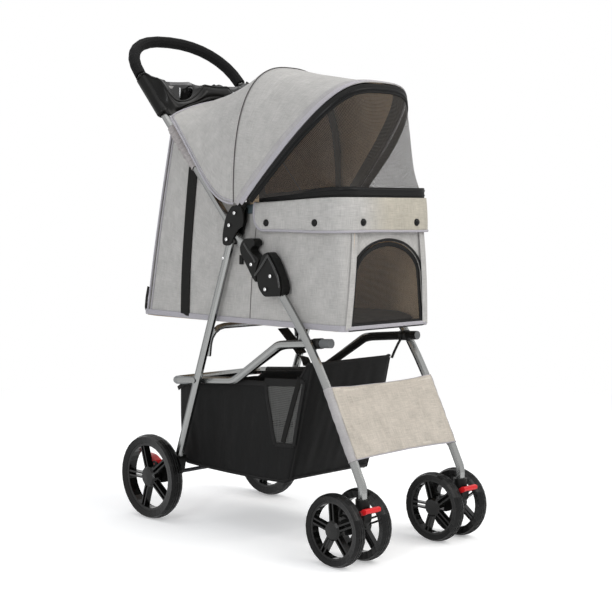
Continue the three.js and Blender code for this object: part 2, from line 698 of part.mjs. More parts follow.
function canopy() {
  const seam = 0.004; // keeps the two panels from touching at the middle hoop
  const panel = (first, second, from, to, drop, steps) => sheet(
    (p, q) => betweenHoops(first, second, 0, drop)(p, from + (to - from) * q),
    (p, q) => betweenHoops(first, second, fabric, drop)(p, from + (to - from) * q), 20, steps);
  piece('canopy_rear', panel(hoops.rear, hoops.mid, 0, 1 - seam, lowerEdgeDrop, 6), greyLinen);
  piece('canopy_front', panel(hoops.mid, hoops.front, seam, 1, 0, 3), greyLinen);

  const rootX = legX - 2;
  const midPlaces = [];
  for (let k = 2; k <= 18; k += 1) {
    midPlaces.push(hoopPlace(hoops.mid, k / 20, hoopInset));
  }
  const midFoot = (side) => new THREE.Vector3(side * rootX, midHoopY, canopyPivot[1] + 4);
  const midHoop = rod(new StationPath([midFoot(-1), ...midPlaces, midFoot(1)]), hoopRadius, 8);
  const eye = (side, fromX, toX, radius) => pinAlongX(canopyPivot, radius, side * fromX, side * toX);
  const eyes = [-1, 1].map((side) => eye(side, rootX - hoopRadius, rootX + hoopRadius, 8));
  const eyeHoles = [-1, 1].map((side) => eye(side, rootX - 10, rootX + 10, pivotPinRadius + gap));
  piece('mid_hoop', cut(join(midHoop, ...eyes), ...eyeHoles), paintedSteel);

  const wirePlaces = [];
  for (let k = 1; k <= 19; k += 1) {
    wirePlaces.push(hoopPlace(hoops.frontWire, k / 20));
  }
  const armX = legX + 2.8;
  const wireFoot = (side) => new THREE.Vector3(side * armX, 258, 652);
  piece('front_hoop', rod(new StationPath([wireFoot(-1), ...wirePlaces, wireFoot(1)]), hoopRadius, 8), paintedSteel);

  for (const [name, side] of [['canopy_arm_right', -1], ['canopy_arm_left', 1]]) {
    const arm = plate([
      [296, 612, 8], [292, 628, 7], [262, 660, 4], [249, 653, 4], [268, 624, 4], [279, 611, 7],
    ], side * (rootX + hoopRadius + 1), side * (outerPlateX - gap), 3);
    const foot = wireFoot(side);
    const above = wirePlaces[side < 0 ? 0 : wirePlaces.length - 1];
    const direction = new THREE.Vector3().subVectors(above, foot).normalize();
    const from = foot.clone().addScaledVector(direction, -7);
    const to = foot.clone().addScaledVector(direction, 10);
    const socket = rod(bentPath([from.toArray(), to.toArray()]), hoopRadius + 2.2, 10);
    const wireHole = rod(bentPath([
      foot.clone().addScaledVector(direction, -gap).toArray(), foot.clone().addScaledVector(direction, 30).toArray(),
    ]), hoopRadius + gap, 8);
    piece(name, cut(join(arm, socket), wireHole, eye(side, rootX - 10, legX + 20, pivotPinRadius + gap)),
      blackPlastic);
  }

  // the mesh screen, from the cabin's rim up to just inside the front hoop
  const rimPlace = (p, inset) => {
    const angle = Math.PI * p;
    const power = (value) => Math.sign(value) * Math.abs(value) ** (2 / 12);
    return new THREE.Vector3(-(cabinHalfWidth - inset) * power(Math.cos(angle)),
      236 - (236 - cabinFrontY - inset) * power(Math.sin(angle)), cabinRimZ + gap);
  };
  const screenFace = (drop) => (p, q) => {
    const inner = 0.03 + 0.94 * p;
    const low = rimPlace(inner, 2 + drop);
    const high = hoopPlace(hoops.screenTop, inner, drop);
    return low.lerp(high, q);
  };
  piece('mesh_screen', sheet(screenFace(0), screenFace(screenThickness), 20, 4), blackMesh);
}

// ---------------------------------------------------------------- front legs and casters

const collar = {
  radius: 13,
  top: 120,
  bottom: 102,
};

function frontLeg(name, side) {
  piece(name, rod(legPath(side), tubeRadius), paintedSteel);
}

function frontPanel() {
  const topZ = 305;
  const bottomZ = 184;
  const sleeves = [-1, 1].map((side) => rod(legPath(side), tubeRadius + gap + 1.4));
  const face = (x) => legPath(x).places.map((place) => [place.y, place.z]);
  const side = face(0);
  const front = side.map(([y, z]) => [y - 1.2, z]);
  const rear = side.map(([y, z]) => [y + 1.2, z]).reverse();
  const cloth = plate([...front, ...rear], -legX, legX);
  const band = box(-200, 200, -100, 200, bottomZ, topZ);
  const legHoles = [-1, 1].map((s) => rod(legPath(s), bore));
  piece('front_panel', cut(join(cloth, ...sleeves).intersect(band), ...legHoles), beigeLinen);
}

function casterCollar(name, side) {
  const x = side * legX;
  const body = join(
    postAlongZ(x, -casterTrail, collar.radius, collar.bottom, collar.top, 20),
    postAlongZ(x, -casterTrail, 5, 84, collar.bottom + 1, 12));
  piece(name, cut(body, rod(legPath(side, gap), bore)), blackPlastic);
}

function swivelHousing(name, side) {
  const x = side * legX;
  const half = 9.5;
  const head = postAlongZ(x, -casterTrail, collar.radius, 86, collar.bottom - gap, 20);
  const fork = plate([
    [-47, 99, 4], [-22, 99, 6], [-8, 84, 10], [12, 77, 8], [14, 56, 9], [-6, 51, 9], [-30, 64, 14], [-47, 82, 6],
  ], x - half, x + half, 3);
  const kingpinHole = postAlongZ(x, -casterTrail, 5 + gap, 83, 120, 12);
  const axleHole = pinAlongX([0, frontWheelRadius], axleRadius + gap, x - 20, x + 20);
  const lockHole = pinAlongX([-42, 96], 2 + gap, x - 20, x + 20, 10);
  piece(name, cut(join(head, fork), kingpinHole, axleHole, lockHole), blackPlastic);
}

function swivelLock(name, side) {
  const x = side * legX;
  const arm = (inner, outer) => plate([
    [-38, 92, 3], [-38, 100, 3], [-52, 108, 3], [-59, 107, 3], [-59, 100, 3], [-50, 96, 3],
  ], inner, outer, 2);
  const bar = plate([[-51, 108.5, 3], [-60, 107.5, 3], [-60, 99.5, 3], [-51, 100.5, 3]], x - 19, x + 19, 2);
  const pin = pinAlongX([-42, 96], 2, x - 14, x + 14, 10);
  piece(name, join(bar, arm(x - 16, x - 13.4), arm(x + 13.4, x + 16), pin), redPlastic);
}

// ---------------------------------------------------------------- wheels

function wheel(prefix, [x, y], radius, width, outwards, sides, hubShare, turn) {
  const centre = [x, y, radius];
  const tyreDepth = radius * 0.19;
  const seat = radius - tyreDepth;
  const half = width / 2;
  const crown = [];
  for (let k = 0; k <= 4; k += 1) {
    const angle = (Math.PI * (k - 2)) / 5.2;
    crown.push([radius - 5 + 5 * Math.cos(angle), (half * Math.sin(angle)) / Math.sin(Math.PI / 2.6)]);
  }
  const first = [seat + gap, -half + 3];
  const last = [seat + gap, half - 3];
  const tyre = turned([first, ...crown, last, first], centre, sides);
  piece(`${prefix}_tyre`, tyre, rubber);

  const rimHalf = half - 3.5;
  const rimInner = seat - radius * 0.06;
  const hubRadius = radius * hubShare;
  const rim = turned([
    [seat, -rimHalf], [seat, rimHalf], [rimInner, rimHalf - 1], [rimInner, 1 - rimHalf], [seat, -rimHalf],
  ], centre, sides);
  const face = outwards * (half - 2);
  const back = outwards * (1 - half);
  const hub = turned([
    [0, back], [hubRadius * 0.8, back], [hubRadius, face - outwards * hubCapHeight], [hubRadius * 0.82, face],
    [0, face + outwards * 1],
  ], centre, 12);
  const ribs = [];
  for (let k = 0; k < spokeCount; k += 1) {
    for (const shift of [-ribSpacing / 2, ribSpacing / 2]) {
      const rib = new THREE.BoxGeometry(rimHalf * 1.3, ribThickness, rimInner - hubRadius + 6);
      rib.translate(outwards * rimHalf * 0.2, shift, (rimInner + hubRadius) / 2);
      rib.rotateX((2 * Math.PI * k) / spokeCount + (turn * Math.PI) / 180);
      ribs.push(solid(rib.translate(...centre)));
    }
  }
  const axleHole = pinAlongX([y, radius], axleRadius + gap, x + back - outwards * 2, x + outwards * (half - 7));
  piece(`${prefix}_rim`, cut(join(rim, hub, ...ribs), axleHole), blackPlastic);
}

function frontWheels(name, side) {
  const x = side * legX;
  const reach = frontWheelOffset + frontWheelWidth / 2 - 8;
  piece(`front_axle_${name}`, pinAlongX([0, frontWheelRadius], axleRadius, x - reach, x + reach), brightSteel);
  for (const [place, outwards] of [['outer', side], ['inner', -side]]) {
    wheel(`front_${place}_${name}`, [x + outwards * frontWheelOffset, 0], frontWheelRadius, frontWheelWidth,
      outwards, 28, 0.28, side < 0 ? frontSpokeTurn : rearSpokeTurn);
  }
}

// ---------------------------------------------------------------- rear legs, axle and brakes

const rearLegFoot = [481, 107];
const pedalPivot = [540, 106];

function rearLeg(name, side) {
  const x = side * legX;
  const tube = rod(bentPath([[x, ...rearPivot], [x, ...rearLegFoot]]), tubeRadius);
  const end = pinAlongX(rearPivot, tubeRadius, x - tubeRadius + 0.5, x + tubeRadius - 0.5);
  const holes = [rearPivot, basketRearPivot].map((spot) => pinAlongX(spot, pivotPinRadius + gap, x - 12, x + 12));
  piece(name, cut(join(tube, end), ...holes), paintedSteel);
}

function rearBrace() {
  const radius = 6;
  const x = legX - tubeRadius - gap - radius;
  const low = [397, 338];
  const high = [388, 396];
  piece('rear_brace', rod(bentPath([
    [-x, ...low], [-x, ...high, 34], [x, ...high, 34], [x, ...low],
  ]), radius, 10), paintedSteel);
}

function rearHousing(name, side) {
  const [inner, outer] = [legX - 11, legX + 11];
  const body = plate([
    [462, 131, 5], [482, 138, 5], [502, 108, 12], [524, 100, 8], [540, 96, 8], [541, 80, 8], [524, 70, 8],
    [500, 74, 12], [468, 98, 10],
  ], side * inner, side * outer, 3);
  const ears = [[legX + 8.4, legX + 11], [legX - 11, legX - 8.4]].map(([a, b]) => plate([
    [524, 90], [540, 88, 4], [549, 104, 5], [542, 114, 5], [531, 110, 4],
  ], side * a, side * b, 3));
  const room = plate([[526, 98.5], [560, 94], [560, 130], [526, 130]], side * (legX - 8.4), side * (legX + 8.4));
  const x = side * legX;
  const legHole = rod(bentPath([[x, ...rearPivot], [x, rearLegFoot[0] + 0.1, rearLegFoot[1] - gap]]), bore);
  const axleHole = pinAlongX([wheelbase, rearWheelRadius], axleRadius + gap, x - 20, x + 20);
  const pinHole = pinAlongX(pedalPivot, 2 + gap, x - 20, x + 20, 10);
  piece(name, cut(join(cut(body, room), ...ears), legHole, axleHole, pinHole), blackPlastic);
}

function brakePedal(name, side) {
  const x = side * legX;
  const hub = pinAlongX(pedalPivot, 5.5, x - 8, x + 8);
  const tread = plate([
    [538, 101.5, 2], [550, 102, 3], [580, 111, 4], [580, 124, 6], [556, 122, 6], [537, 112, 3],
  ], x - 8, x + 8, 3);
  const pin = pinAlongX(pedalPivot, 2, x - 10.8, x + 10.8, 10);
  piece(name, join(hub, tread, pin), redPlastic);
}

function rearAxle() {
  const reach = rearWheelX + rearWheelWidth / 2 - 8;
  piece('rear_axle', pinAlongX([wheelbase, rearWheelRadius], axleRadius, -reach, reach), brightSteel);
}

// ---------------------------------------------------------------- basket

const basketPlugEnd = [60, 385.5];
const basketRear = [515, 279];

function basket() {
  const tubeEnd = [84, 384];
  const run = (side) => [
    [side * basketX, ...tubeEnd], [side * basketX, 196, 374, 46], [side * basketX, 322, 295, 46],
  ];
  const frame = rod(bentPath([
    ...run(-1), [-basketX, ...basketRear, 26], [basketX, ...basketRear, 26], ...run(1).reverse(),
  ]), tubeRadius);
  const pins = [-1, 1].map((side) => pinAlongX(basketRearPivot, pivotPinRadius,
    side * basketX, side * (legX + tubeRadius + 2)));
  const heads = [-1, 1].map((side) => pinAlongX(basketRearPivot, 6,
    side * (legX + tubeRadius + gap), side * (legX + tubeRadius + 2)));
  piece('basket_frame', join(frame, ...pins, ...heads), paintedSteel);
  for (const [name, side] of [['basket_plug_right', -1], ['basket_plug_left', 1]]) {
    piece(name, rod(bentPath([
      [side * basketX, tubeEnd[0] - 0.6, tubeEnd[1]], [side * basketX, ...basketPlugEnd],
    ]), tubeRadius + 0.4, 12), blackPlastic);
  }
  const floor = basketFloorZ;
  const frontAt = (z) => 176 - ((z - floor) * 62) / 234; // the front wall leans forwards
  const rearAt = (z) => 498 + ((z - floor) * 7.6) / 150;
  const outer = plate([
    [rearAt(floor), floor, 24], [rearAt(270), 270], [486, 270], [480, 282], [322, 296.5], [250, 300], [150, 306],
    [128, 346], [frontAt(346), 346], [frontAt(floor), floor, 14],
  ], -basketBagHalfWidth, basketBagHalfWidth);
  const low = floor + basketWall;
  const inner = plate([
    [rearAt(low) - basketWall, low, 20], [rearAt(380) - basketWall, 380],
    [frontAt(380) + basketWall, 380], [frontAt(low) + basketWall, low, 12],
  ], basketWall - basketBagHalfWidth, basketBagHalfWidth - basketWall);
  piece('basket_bag', cut(outer, inner), blackCloth);
}

// ---------------------------------------------------------------- assembly

handle();
parentTray();
for (const [name, side] of [['right', -1], ['left', 1]]) {
  hingeBracket(`hinge_bracket_${name}`, side);
  latchSleeve(`latch_sleeve_${name}`, side);
  legSocket(`leg_socket_${name}`, side);
  frontLeg(`front_leg_${name}`, side);
  casterCollar(`caster_collar_${name}`, side);
  swivelHousing(`swivel_housing_${name}`, side);
  swivelLock(`swivel_lock_${name}`, side);
  frontWheels(name, side);
  rearLeg(`rear_leg_${name}`, side);
  rearHousing(`rear_housing_${name}`, side);
  brakePedal(`brake_pedal_${name}`, side);
  wheel(`rear_${name}`, [side * rearWheelX, wheelbase], rearWheelRadius, rearWheelWidth, side, 32,
    0.25, rearSpokeTurn);
}
cabin();
canopy();
frontPanel();
rearBrace();
rearAxle();
basket();

// the origin is on the floor, at the middle of the footprint
const centre = new THREE.Box3().setFromObject(assembly).getCenter(new THREE.Vector3());
const group = new THREE.Group();
group.add(assembly);
assembly.position.y = -centre.y;
group.updateMatrixWorld(true);

export default group;
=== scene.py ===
# Pet stroller: cloth, trims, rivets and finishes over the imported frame.
import math
import bmesh
import bpy
import numpy as np
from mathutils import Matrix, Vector


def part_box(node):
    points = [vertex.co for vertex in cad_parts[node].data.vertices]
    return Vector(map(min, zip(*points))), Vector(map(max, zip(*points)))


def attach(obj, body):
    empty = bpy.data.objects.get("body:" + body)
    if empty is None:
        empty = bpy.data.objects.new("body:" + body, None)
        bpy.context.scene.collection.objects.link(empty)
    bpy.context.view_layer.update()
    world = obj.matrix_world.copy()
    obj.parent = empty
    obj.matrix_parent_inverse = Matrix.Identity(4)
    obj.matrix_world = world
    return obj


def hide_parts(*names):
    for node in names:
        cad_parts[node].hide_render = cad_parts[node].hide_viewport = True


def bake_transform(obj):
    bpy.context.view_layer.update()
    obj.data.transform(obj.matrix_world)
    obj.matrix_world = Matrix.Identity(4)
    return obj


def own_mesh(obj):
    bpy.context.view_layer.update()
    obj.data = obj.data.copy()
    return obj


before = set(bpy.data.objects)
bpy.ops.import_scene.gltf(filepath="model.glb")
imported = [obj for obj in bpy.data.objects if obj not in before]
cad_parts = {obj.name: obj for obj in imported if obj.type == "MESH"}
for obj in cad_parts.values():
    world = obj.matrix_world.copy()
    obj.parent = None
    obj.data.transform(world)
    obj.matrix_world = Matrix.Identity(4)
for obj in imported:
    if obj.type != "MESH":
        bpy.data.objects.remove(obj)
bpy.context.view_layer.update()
scene = bpy.context.scene
scene.view_settings.view_transform = "Standard"

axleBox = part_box("front_axle_right")
axleY = (axleBox[0].y + axleBox[1].y) / 2
mirrorSides = (("right", -1), ("left", 1))


def inRow(points):
    # millimetres with Y counted back from the front axle -> metres in the row frame
    row = np.array(points, float) / 1000
    row[..., 1] += axleY
    return row


# ---- shaping tools

def unit(vectors):
    # each vector over its own length
    return vectors / np.maximum(np.linalg.norm(vectors, axis=-1, keepdims=True), 1e-9)


def ramp(values, low, high):
    # smooth step: 3t^2 - 2t^3 with t running from 0 at low to 1 at high
    t = np.clip((values - low) / (high - low), 0, 1)
    return t * t * (3 - 2 * t)


def ripple(u, v, waves):
    # sum of amplitude * sin(a*u + b*v + phase)
    return sum(amplitude * np.sin(a * u + b * v + phase) for amplitude, a, b, phase in waves)


def resample(points, count):
    # places at equal distances along a polyline
    points = np.asarray(points, float)
    along = np.concatenate([[0], np.cumsum(np.linalg.norm(np.diff(points, axis=0), axis=1))])
    wanted = np.linspace(0, along[-1], count)
    return np.stack([np.interp(wanted, along, points[:, k]) for k in range(points.shape[1])], axis=1)


def rounded(corners, count=60, passes=0):
    # a polyline with softened corners: each pass averages a place with its neighbours
    line = resample(corners, count)
    for _ in range(passes):
        line[1:-1] = (line[:-2] + 2 * line[1:-1] + line[2:]) / 4
    return resample(line, count)


def bezierCurve(points, t):
    # cubic: (1-t)^3 a + 3(1-t)^2 t b + 3(1-t)t^2 c + t^3 d
    a, b, c, d = (np.asarray(p, float) for p in points)
    t = np.asarray(t, float)[..., None]
    return (1 - t) ** 3 * a + 3 * (1 - t) ** 2 * t * b + 3 * (1 - t) * t ** 2 * c + t ** 3 * d


def between(first, second, share):
    # straight from first to second: first (1 - share) + second share
    return first * (1 - share) + second * share


def withZ(plan, z=0.0):
    # a flat plan and its heights, put together as places
    return np.concatenate([plan, np.broadcast_to(z, plan.shape[:-1])[..., None]], -1)


def faceAway(normals, places, middle):
    # turns round each normal that points towards the middle
    return normals * np.where((normals * (places - middle)).sum(-1, keepdims=True) < 0, -1, 1)


def planOut(path, middle):
    # square to a flat path: (dy, -dx) over its length, away from the middle
    return faceAway(unit(np.stack([np.gradient(path[:, 1]), -np.gradient(path[:, 0])], 1)), path, np.array(middle))


def frontWrap(facts, bendCount, count):
    # a flat path up one side, across the front and down the other, with quarter circles at its corners
    half, front, corner = facts["half"], facts["front"], facts["corner"]
    plan = [(-half, facts["endY"])]
    for cx, start in ((-half + corner, np.pi), (half - corner, 1.5 * np.pi)):
        turn = np.linspace(start, start + np.pi / 2, bendCount)
        plan += list(zip(cx + corner * np.cos(turn), front + corner + corner * np.sin(turn)))
    path = resample(np.array(plan + [(half, facts["endY"])]), count)
    return path, planOut(path, [0, 200])


def leftPlan(half, front, rear, corners, counts):
    # from the front round the front corner, back along the side, round the rear corner and in to the middle
    (frontCorner, rearCorner), (bendCount, sideCount, backCount) = corners, counts
    bend = np.linspace(0, np.pi / 2, bendCount)
    frontBend = np.stack([half - frontCorner + frontCorner * np.sin(bend),
                          front + frontCorner - frontCorner * np.cos(bend)], 1)
    side = np.stack([np.full(sideCount, half), np.linspace(front + frontCorner, rear - rearCorner, sideCount)], 1)
    rearBow = np.stack([half - rearCorner + rearCorner * np.cos(bend),
                        rear - rearCorner + rearCorner * np.sin(bend)], 1)
    back = np.stack([np.linspace(half - rearCorner, 0, backCount), np.full(backCount, rear)], 1)
    return np.concatenate([frontBend, side[1:-1], rearBow, back[1:]])


def mirrored(left):
    # the left half of a plan and its mirror image, run back from the middle
    return np.concatenate([left, left[-2::-1] * [-1, 1]])


def fanIn(loop, centre, share):
    # a loop drawn in towards its middle, to 0.02 of its reach
    return between(loop[:, None], centre + (loop[:, None] - centre) * 0.02, share)


def gridNormals(grid):
    # cross product of the two grid directions
    return unit(np.cross(np.gradient(grid, axis=0), np.gradient(grid, axis=1)))


def arcUv(grid):
    # distance along rows and columns, in metres
    down = np.linalg.norm(np.diff(grid, axis=0), axis=2).mean(axis=1)
    over = np.linalg.norm(np.diff(grid, axis=1), axis=2).mean(axis=0)
    u = np.concatenate([[0], np.cumsum(down)]) / 1000
    v = np.concatenate([[0], np.cumsum(over)]) / 1000
    return np.stack(np.meshgrid(u, v, indexing="ij"), axis=-1)


def ellipseProfile(width, height, count=16, squareness=2.0):
    # superellipse: |cos|^(2/n), |sin|^(2/n), closed
    angle = np.linspace(0, 2 * np.pi, count + 1)
    c, s = np.cos(angle), np.sin(angle)
    return np.stack([
        width / 2 * np.sign(c) * np.abs(c) ** (2 / squareness),
        height / 2 * np.sign(s) * np.abs(s) ** (2 / squareness)], axis=1)


def sweep(path, profile, lift, caps=True):
    # profile carried along the path: path + p0 * side + p1 * lift, side = tangent x lift
    path = np.asarray(path, float)
    tangent = unit(np.gradient(path, axis=0))
    lift = np.broadcast_to(np.asarray(lift, float), path.shape)
    lift = unit(lift - (lift * tangent).sum(1, keepdims=True) * tangent)
    side = np.cross(tangent, lift)
    grid = (path[:, None, :] + profile[None, :, 0:1] * side[:, None, :]
            + profile[None, :, 1:2] * lift[:, None, :])
    if caps:
        first = np.broadcast_to(path[0], grid[:1].shape)
        last = np.broadcast_to(path[-1], grid[:1].shape)
        grid = np.concatenate([first, grid, last])
    return grid


def lathe(profile, centre, axis, count=24):
    # (radius, height) pairs turned round an axis
    profile = np.asarray(profile, float)
    axis = unit(np.asarray(axis, float))
    side = unit(np.cross(axis, [0.123, 0.456, 0.881]))
    other = np.cross(axis, side)
    angle = np.linspace(0, 2 * np.pi, count + 1)[:, None, None]
    round_ = np.cos(angle) * side + np.sin(angle) * other
    return np.asarray(centre, float) + profile[None, :, 0:1] * round_ + profile[None, :, 1:2] * axis


def makePiece(name, patches, body=None, hides=(), wall=None, liner=None,
              closed=True, flip=False, wallOffset=-1, weld=0.02):
    # patches are (grid in mm, material), (grid, material, uv) or (grid, material, uv, mask, other
    # material), where the mask picks the faces that take the other material; welded into one mesh
    materials, verts, faces, tints, uvs = [], [], [], [], []
    start = 0
    for patch in patches:
        grid, material = patch[:2]
        rows, columns = grid.shape[:2]
        uv = patch[2] if len(patch) > 2 else arcUv(grid)
        if material not in materials:
            materials.append(material)
        index = np.arange(rows * columns).reshape(rows, columns)
        quads = np.stack([index[:-1, :-1], index[1:, :-1], index[1:, 1:], index[:-1, 1:]], -1).reshape(-1, 4)
        if flip:
            quads = quads[:, ::-1]
        verts.append(grid.reshape(-1, 3))
        faces.append(quads + start)
        uvs.append(uv.reshape(-1, 2)[quads].reshape(-1, 2))
        tint = np.full(len(quads), materials.index(material))
        if len(patch) > 3:
            if patch[4] not in materials:
                materials.append(patch[4])
            tint[patch[3](grid.reshape(-1, 3)[quads].mean(axis=1))] = materials.index(patch[4])
        tints.append(tint)
        start += rows * columns
    places = inRow(np.concatenate(verts))
    faces = np.concatenate(faces)
    mesh = bpy.data.meshes.new(name)
    mesh.from_pydata(places.tolist(), [], faces.tolist())
    layer = mesh.uv_layers.new(name="cloth")
    layer.data.foreach_set("uv", np.concatenate(uvs).ravel())
    mesh.polygons.foreach_set("material_index", np.concatenate(tints).astype(np.int32))
    for material in materials:
        mesh.materials.append(material)
    if liner is not None:
        mesh.materials.append(liner)
    work = bmesh.new()
    work.from_mesh(mesh)
    bmesh.ops.remove_doubles(work, verts=work.verts, dist=weld / 1000)
    bmesh.ops.dissolve_degenerate(work, edges=work.edges, dist=1e-7)
    if closed:
        bmesh.ops.recalc_face_normals(work, faces=work.faces)
    work.to_mesh(mesh)
    work.free()
    mesh.polygons.foreach_set("use_smooth", np.ones(len(mesh.polygons), bool))
    mesh.update()
    piece = bpy.data.objects.new(name, mesh)
    scene.collection.objects.link(piece)
    if wall:
        shell = piece.modifiers.new("wall", "SOLIDIFY")
        shell.thickness = wall / 1000
        shell.offset = wallOffset
        shell.use_even_offset = False
        if liner is not None:
            shell.material_offset = len(materials)
    if body:
        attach(piece, body)
    if hides:
        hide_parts(*hides)
    return piece


# ---- finishes

def tone(red, green, blue):
    # sRGB 0..255 -> linear with alpha 1
    return tuple(((c / 255 + 0.055) / 1.055) ** 2.4 if c > 10 else c / 255 / 12.92 for c in (red, green, blue)) + (1,)


def newFinish(name):
    # an empty finish: the material, its tree and its shader
    material = bpy.data.materials.new(name)
    material.use_nodes = True
    return material, material.node_tree, material.node_tree.nodes["Principled BSDF"]


def feed(tree, socket, value):
    # a link from another socket, or else a plain value
    if isinstance(value, bpy.types.NodeSocket):
        tree.links.new(value, socket)
    else:
        socket.default_value = value


def node(tree, kind, sockets=None, **settings):
    # a new node with its settings and what its sockets take
    made = tree.nodes.new(kind)
    for key, value in settings.items():
        setattr(made, key, value)
    for key, value in (sockets or {}).items():
        feed(tree, made.inputs[key], value)
    return made


def scaled(tree, source, factors):
    # a place times a factor for each axis
    return node(tree, "ShaderNodeMapping", {"Vector": source, "Scale": factors}).outputs["Vector"]


def coordinate(tree, kind):
    # the cloth's own coordinates or the object's
    return node(tree, "ShaderNodeTexCoord").outputs[kind]


def noise(tree, vector, scale, detail=2.0, roughness=0.5):
    # soft clouds, 0..1
    return node(tree, "ShaderNodeTexNoise", {"Vector": vector, "Scale": scale, "Detail": detail,
                                             "Roughness": roughness}).outputs["Fac"]


def stripes(tree, vector, scale, distortion, way):
    # waved bands across X or Y, 0..1
    return node(tree, "ShaderNodeTexWave", {"Vector": vector, "Scale": scale, "Distortion": distortion},
                bands_direction=way).outputs["Fac"]


def maths(tree, operation, *values):
    # one operation on its values
    return node(tree, "ShaderNodeMath", dict(enumerate(values)), operation=operation).outputs[0]


def mapped(tree, value, low, high):
    # 0..1 stretched to low..high
    return node(tree, "ShaderNodeMapRange", {"Value": value, "To Min": low, "To Max": high}).outputs[0]


def shaded(colour, factor):
    # a colour made darker or lighter, held at 1
    return tuple(min(c * factor, 1) for c in colour[:3]) + (1,)


def blendTones(tree, factor, dark, light):
    # dark (1 - factor) + light factor; a colour mix has its own two sockets and output, by number
    mix = node(tree, "ShaderNodeMix", {"Factor": factor, 6: dark, 7: light}, data_type="RGBA")
    return mix.outputs[2]


def dress(tree, shader, sockets):
    # a link or a plain value for each of the shader's sockets
    for socketName, value in sockets.items():
        feed(tree, shader.inputs[socketName], value)


def bumped(tree, shader, height, distance, strength=1.0, under=None):
    # raises the shader's surface by a height, over an earlier bump where there is one
    bump = node(tree, "ShaderNodeBump", {"Height": height, "Distance": distance, "Strength": strength})
    if under is not None:
        tree.links.new(under, bump.inputs["Normal"])
    tree.links.new(bump.outputs["Normal"], shader.inputs["Normal"])
    return bump.outputs["Normal"]


def linenFinish(name, base, warmLightTone=None, slub=0.2):
    # melange cloth: short streaks along both threads, soft blotches, a fine plain weave;
    # warmLightTone is painted warm light: from X = -0.09 m to X = 0 the cloth turns to this warmer tone, which then
    # holds on the +X side
    material, tree, shader = newFinish(name)
    uv, place = coordinate(tree, "UV"), coordinate(tree, "Object")
    warp, weft = (noise(tree, scaled(tree, uv, factors), 1.0, 4.0, 0.65) for factors in ((700, 42, 1), (42, 700, 1)))
    streaks = maths(tree, "ADD", warp, weft)
    level = maths(tree, "MULTIPLY_ADD", noise(tree, place, 34.0, 5.0, 0.65), 0.7, streaks)
    spread = node(tree, "ShaderNodeMapRange", {"Value": level, "From Min": 1.05, "From Max": 1.65}).outputs[0]
    colour = blendTones(tree, spread, shaded(base, 1 - slub), shaded(base, 1 + slub))
    # painted warm light: a warmer copy of the cloth's tones, blended in across X
    if warmLightTone is not None:
        warmLitColour = blendTones(tree, spread, shaded(warmLightTone, 1 - slub), shaded(warmLightTone, 1 + slub))
        across = node(tree, "ShaderNodeSeparateXYZ", {0: place}).outputs["X"]
        reach = node(tree, "ShaderNodeMapRange", {"Value": across, "From Min": -0.09, "From Max": 0.0},
                     interpolation_type="SMOOTHSTEP").outputs[0]
        colour = blendTones(tree, reach, colour, warmLitColour)
    weave = maths(tree, "MAXIMUM", *(stripes(tree, uv, 300.0, 0.6, way) for way in ("X", "Y")))
    bumped(tree, shader, streaks, 0.0004, 0.5, bumped(tree, shader, weave, 0.00025, 0.7))
    dress(tree, shader, {"Base Color": colour, "Roughness": mapped(tree, spread, 0.82, 0.95), "Sheen Weight": 0.12,
                         "Sheen Roughness": 0.5, "Specular IOR Level": 0.25})
    return material


def wovenFinish(name, dark, light, pitch=0.0016, roughness=0.7, sheen=0.0, depth=0.0004, gleam=0.3):
    # tape, webbing or plain cloth: ribs across the piece with a fine cross thread
    material, tree, shader = newFinish(name)
    uv = coordinate(tree, "UV")
    rib, cross = stripes(tree, uv, 0.314 / pitch, 0.4, "X"), stripes(tree, uv, 0.52 / pitch, 0.4, "Y")
    speckle = noise(tree, uv, 420.0)
    bumped(tree, shader, maths(tree, "MULTIPLY_ADD", cross, 0.4, rib), depth, 0.6)
    dress(tree, shader, {"Base Color": blendTones(tree, maths(tree, "MULTIPLY", speckle, rib), dark, light),
                         "Roughness": mapped(tree, speckle, roughness - 0.1, roughness + 0.1),
                         "Sheen Weight": sheen, "Specular IOR Level": gleam})
    return material


def netFinish(name, thread, pitch=0.0021, cover=0.46):
    # open net: a square grid of threads, clear between them
    material, tree, shader = newFinish(name)
    uv = coordinate(tree, "UV")
    split = node(tree, "ShaderNodeSeparateXYZ", {0: uv})
    lines = [maths(tree, "LESS_THAN", maths(tree, "MODULO", split.outputs[axis], pitch), pitch * cover * 0.7)
             for axis in ("X", "Y")]
    dress(tree, shader, {"Base Color": blendTones(tree, noise(tree, uv, 60.0), shaded(thread, 0.7), thread),
                         "Alpha": maths(tree, "MAXIMUM", *lines), "Roughness": 0.6})
    return material


def plasticFinish(name, base, roughness, grain=0.00006, grainScale=900.0, coat=0.0, gleam=0.16):
    # moulded plastic: even colour with faint clouding, fine spark-eroded grain
    material, tree, shader = newFinish(name)
    place = coordinate(tree, "Object")
    cloud = noise(tree, place, 22.0, 4.0)
    bumped(tree, shader, noise(tree, place, grainScale), grain, 0.6)
    dress(tree, shader, {"Base Color": blendTones(tree, cloud, shaded(base, 0.82), shaded(base, 1.18)),
                         "Roughness": mapped(tree, cloud, roughness * 0.85, roughness * 1.15),
                         "Coat Weight": coat, "Coat Roughness": 0.06, "Specular IOR Level": gleam})
    return material


def steelFinish(name, base, roughness, metallic, flake=0.03):
    # metallic paint or bright plate: fine flake in colour and roughness, faint orange peel
    material, tree, shader = newFinish(name)
    place = coordinate(tree, "Object")
    sparkle, peel = noise(tree, place, 1400.0, 1.0), noise(tree, place, 160.0)
    bumped(tree, shader, peel, 0.00004, 0.4)
    flakes = blendTones(tree, sparkle, shaded(base, 1 - flake * 3), shaded(base, 1 + flake * 3))
    dress(tree, shader, {"Base Color": flakes,
                         "Roughness": mapped(tree, peel, roughness - 0.05, roughness + 0.05), "Metallic": metallic,
                         "Coat Weight": 0.0, "Coat Roughness": 0.12, "Specular Tint": (0.35, 0.36, 0.38, 1)})
    return material


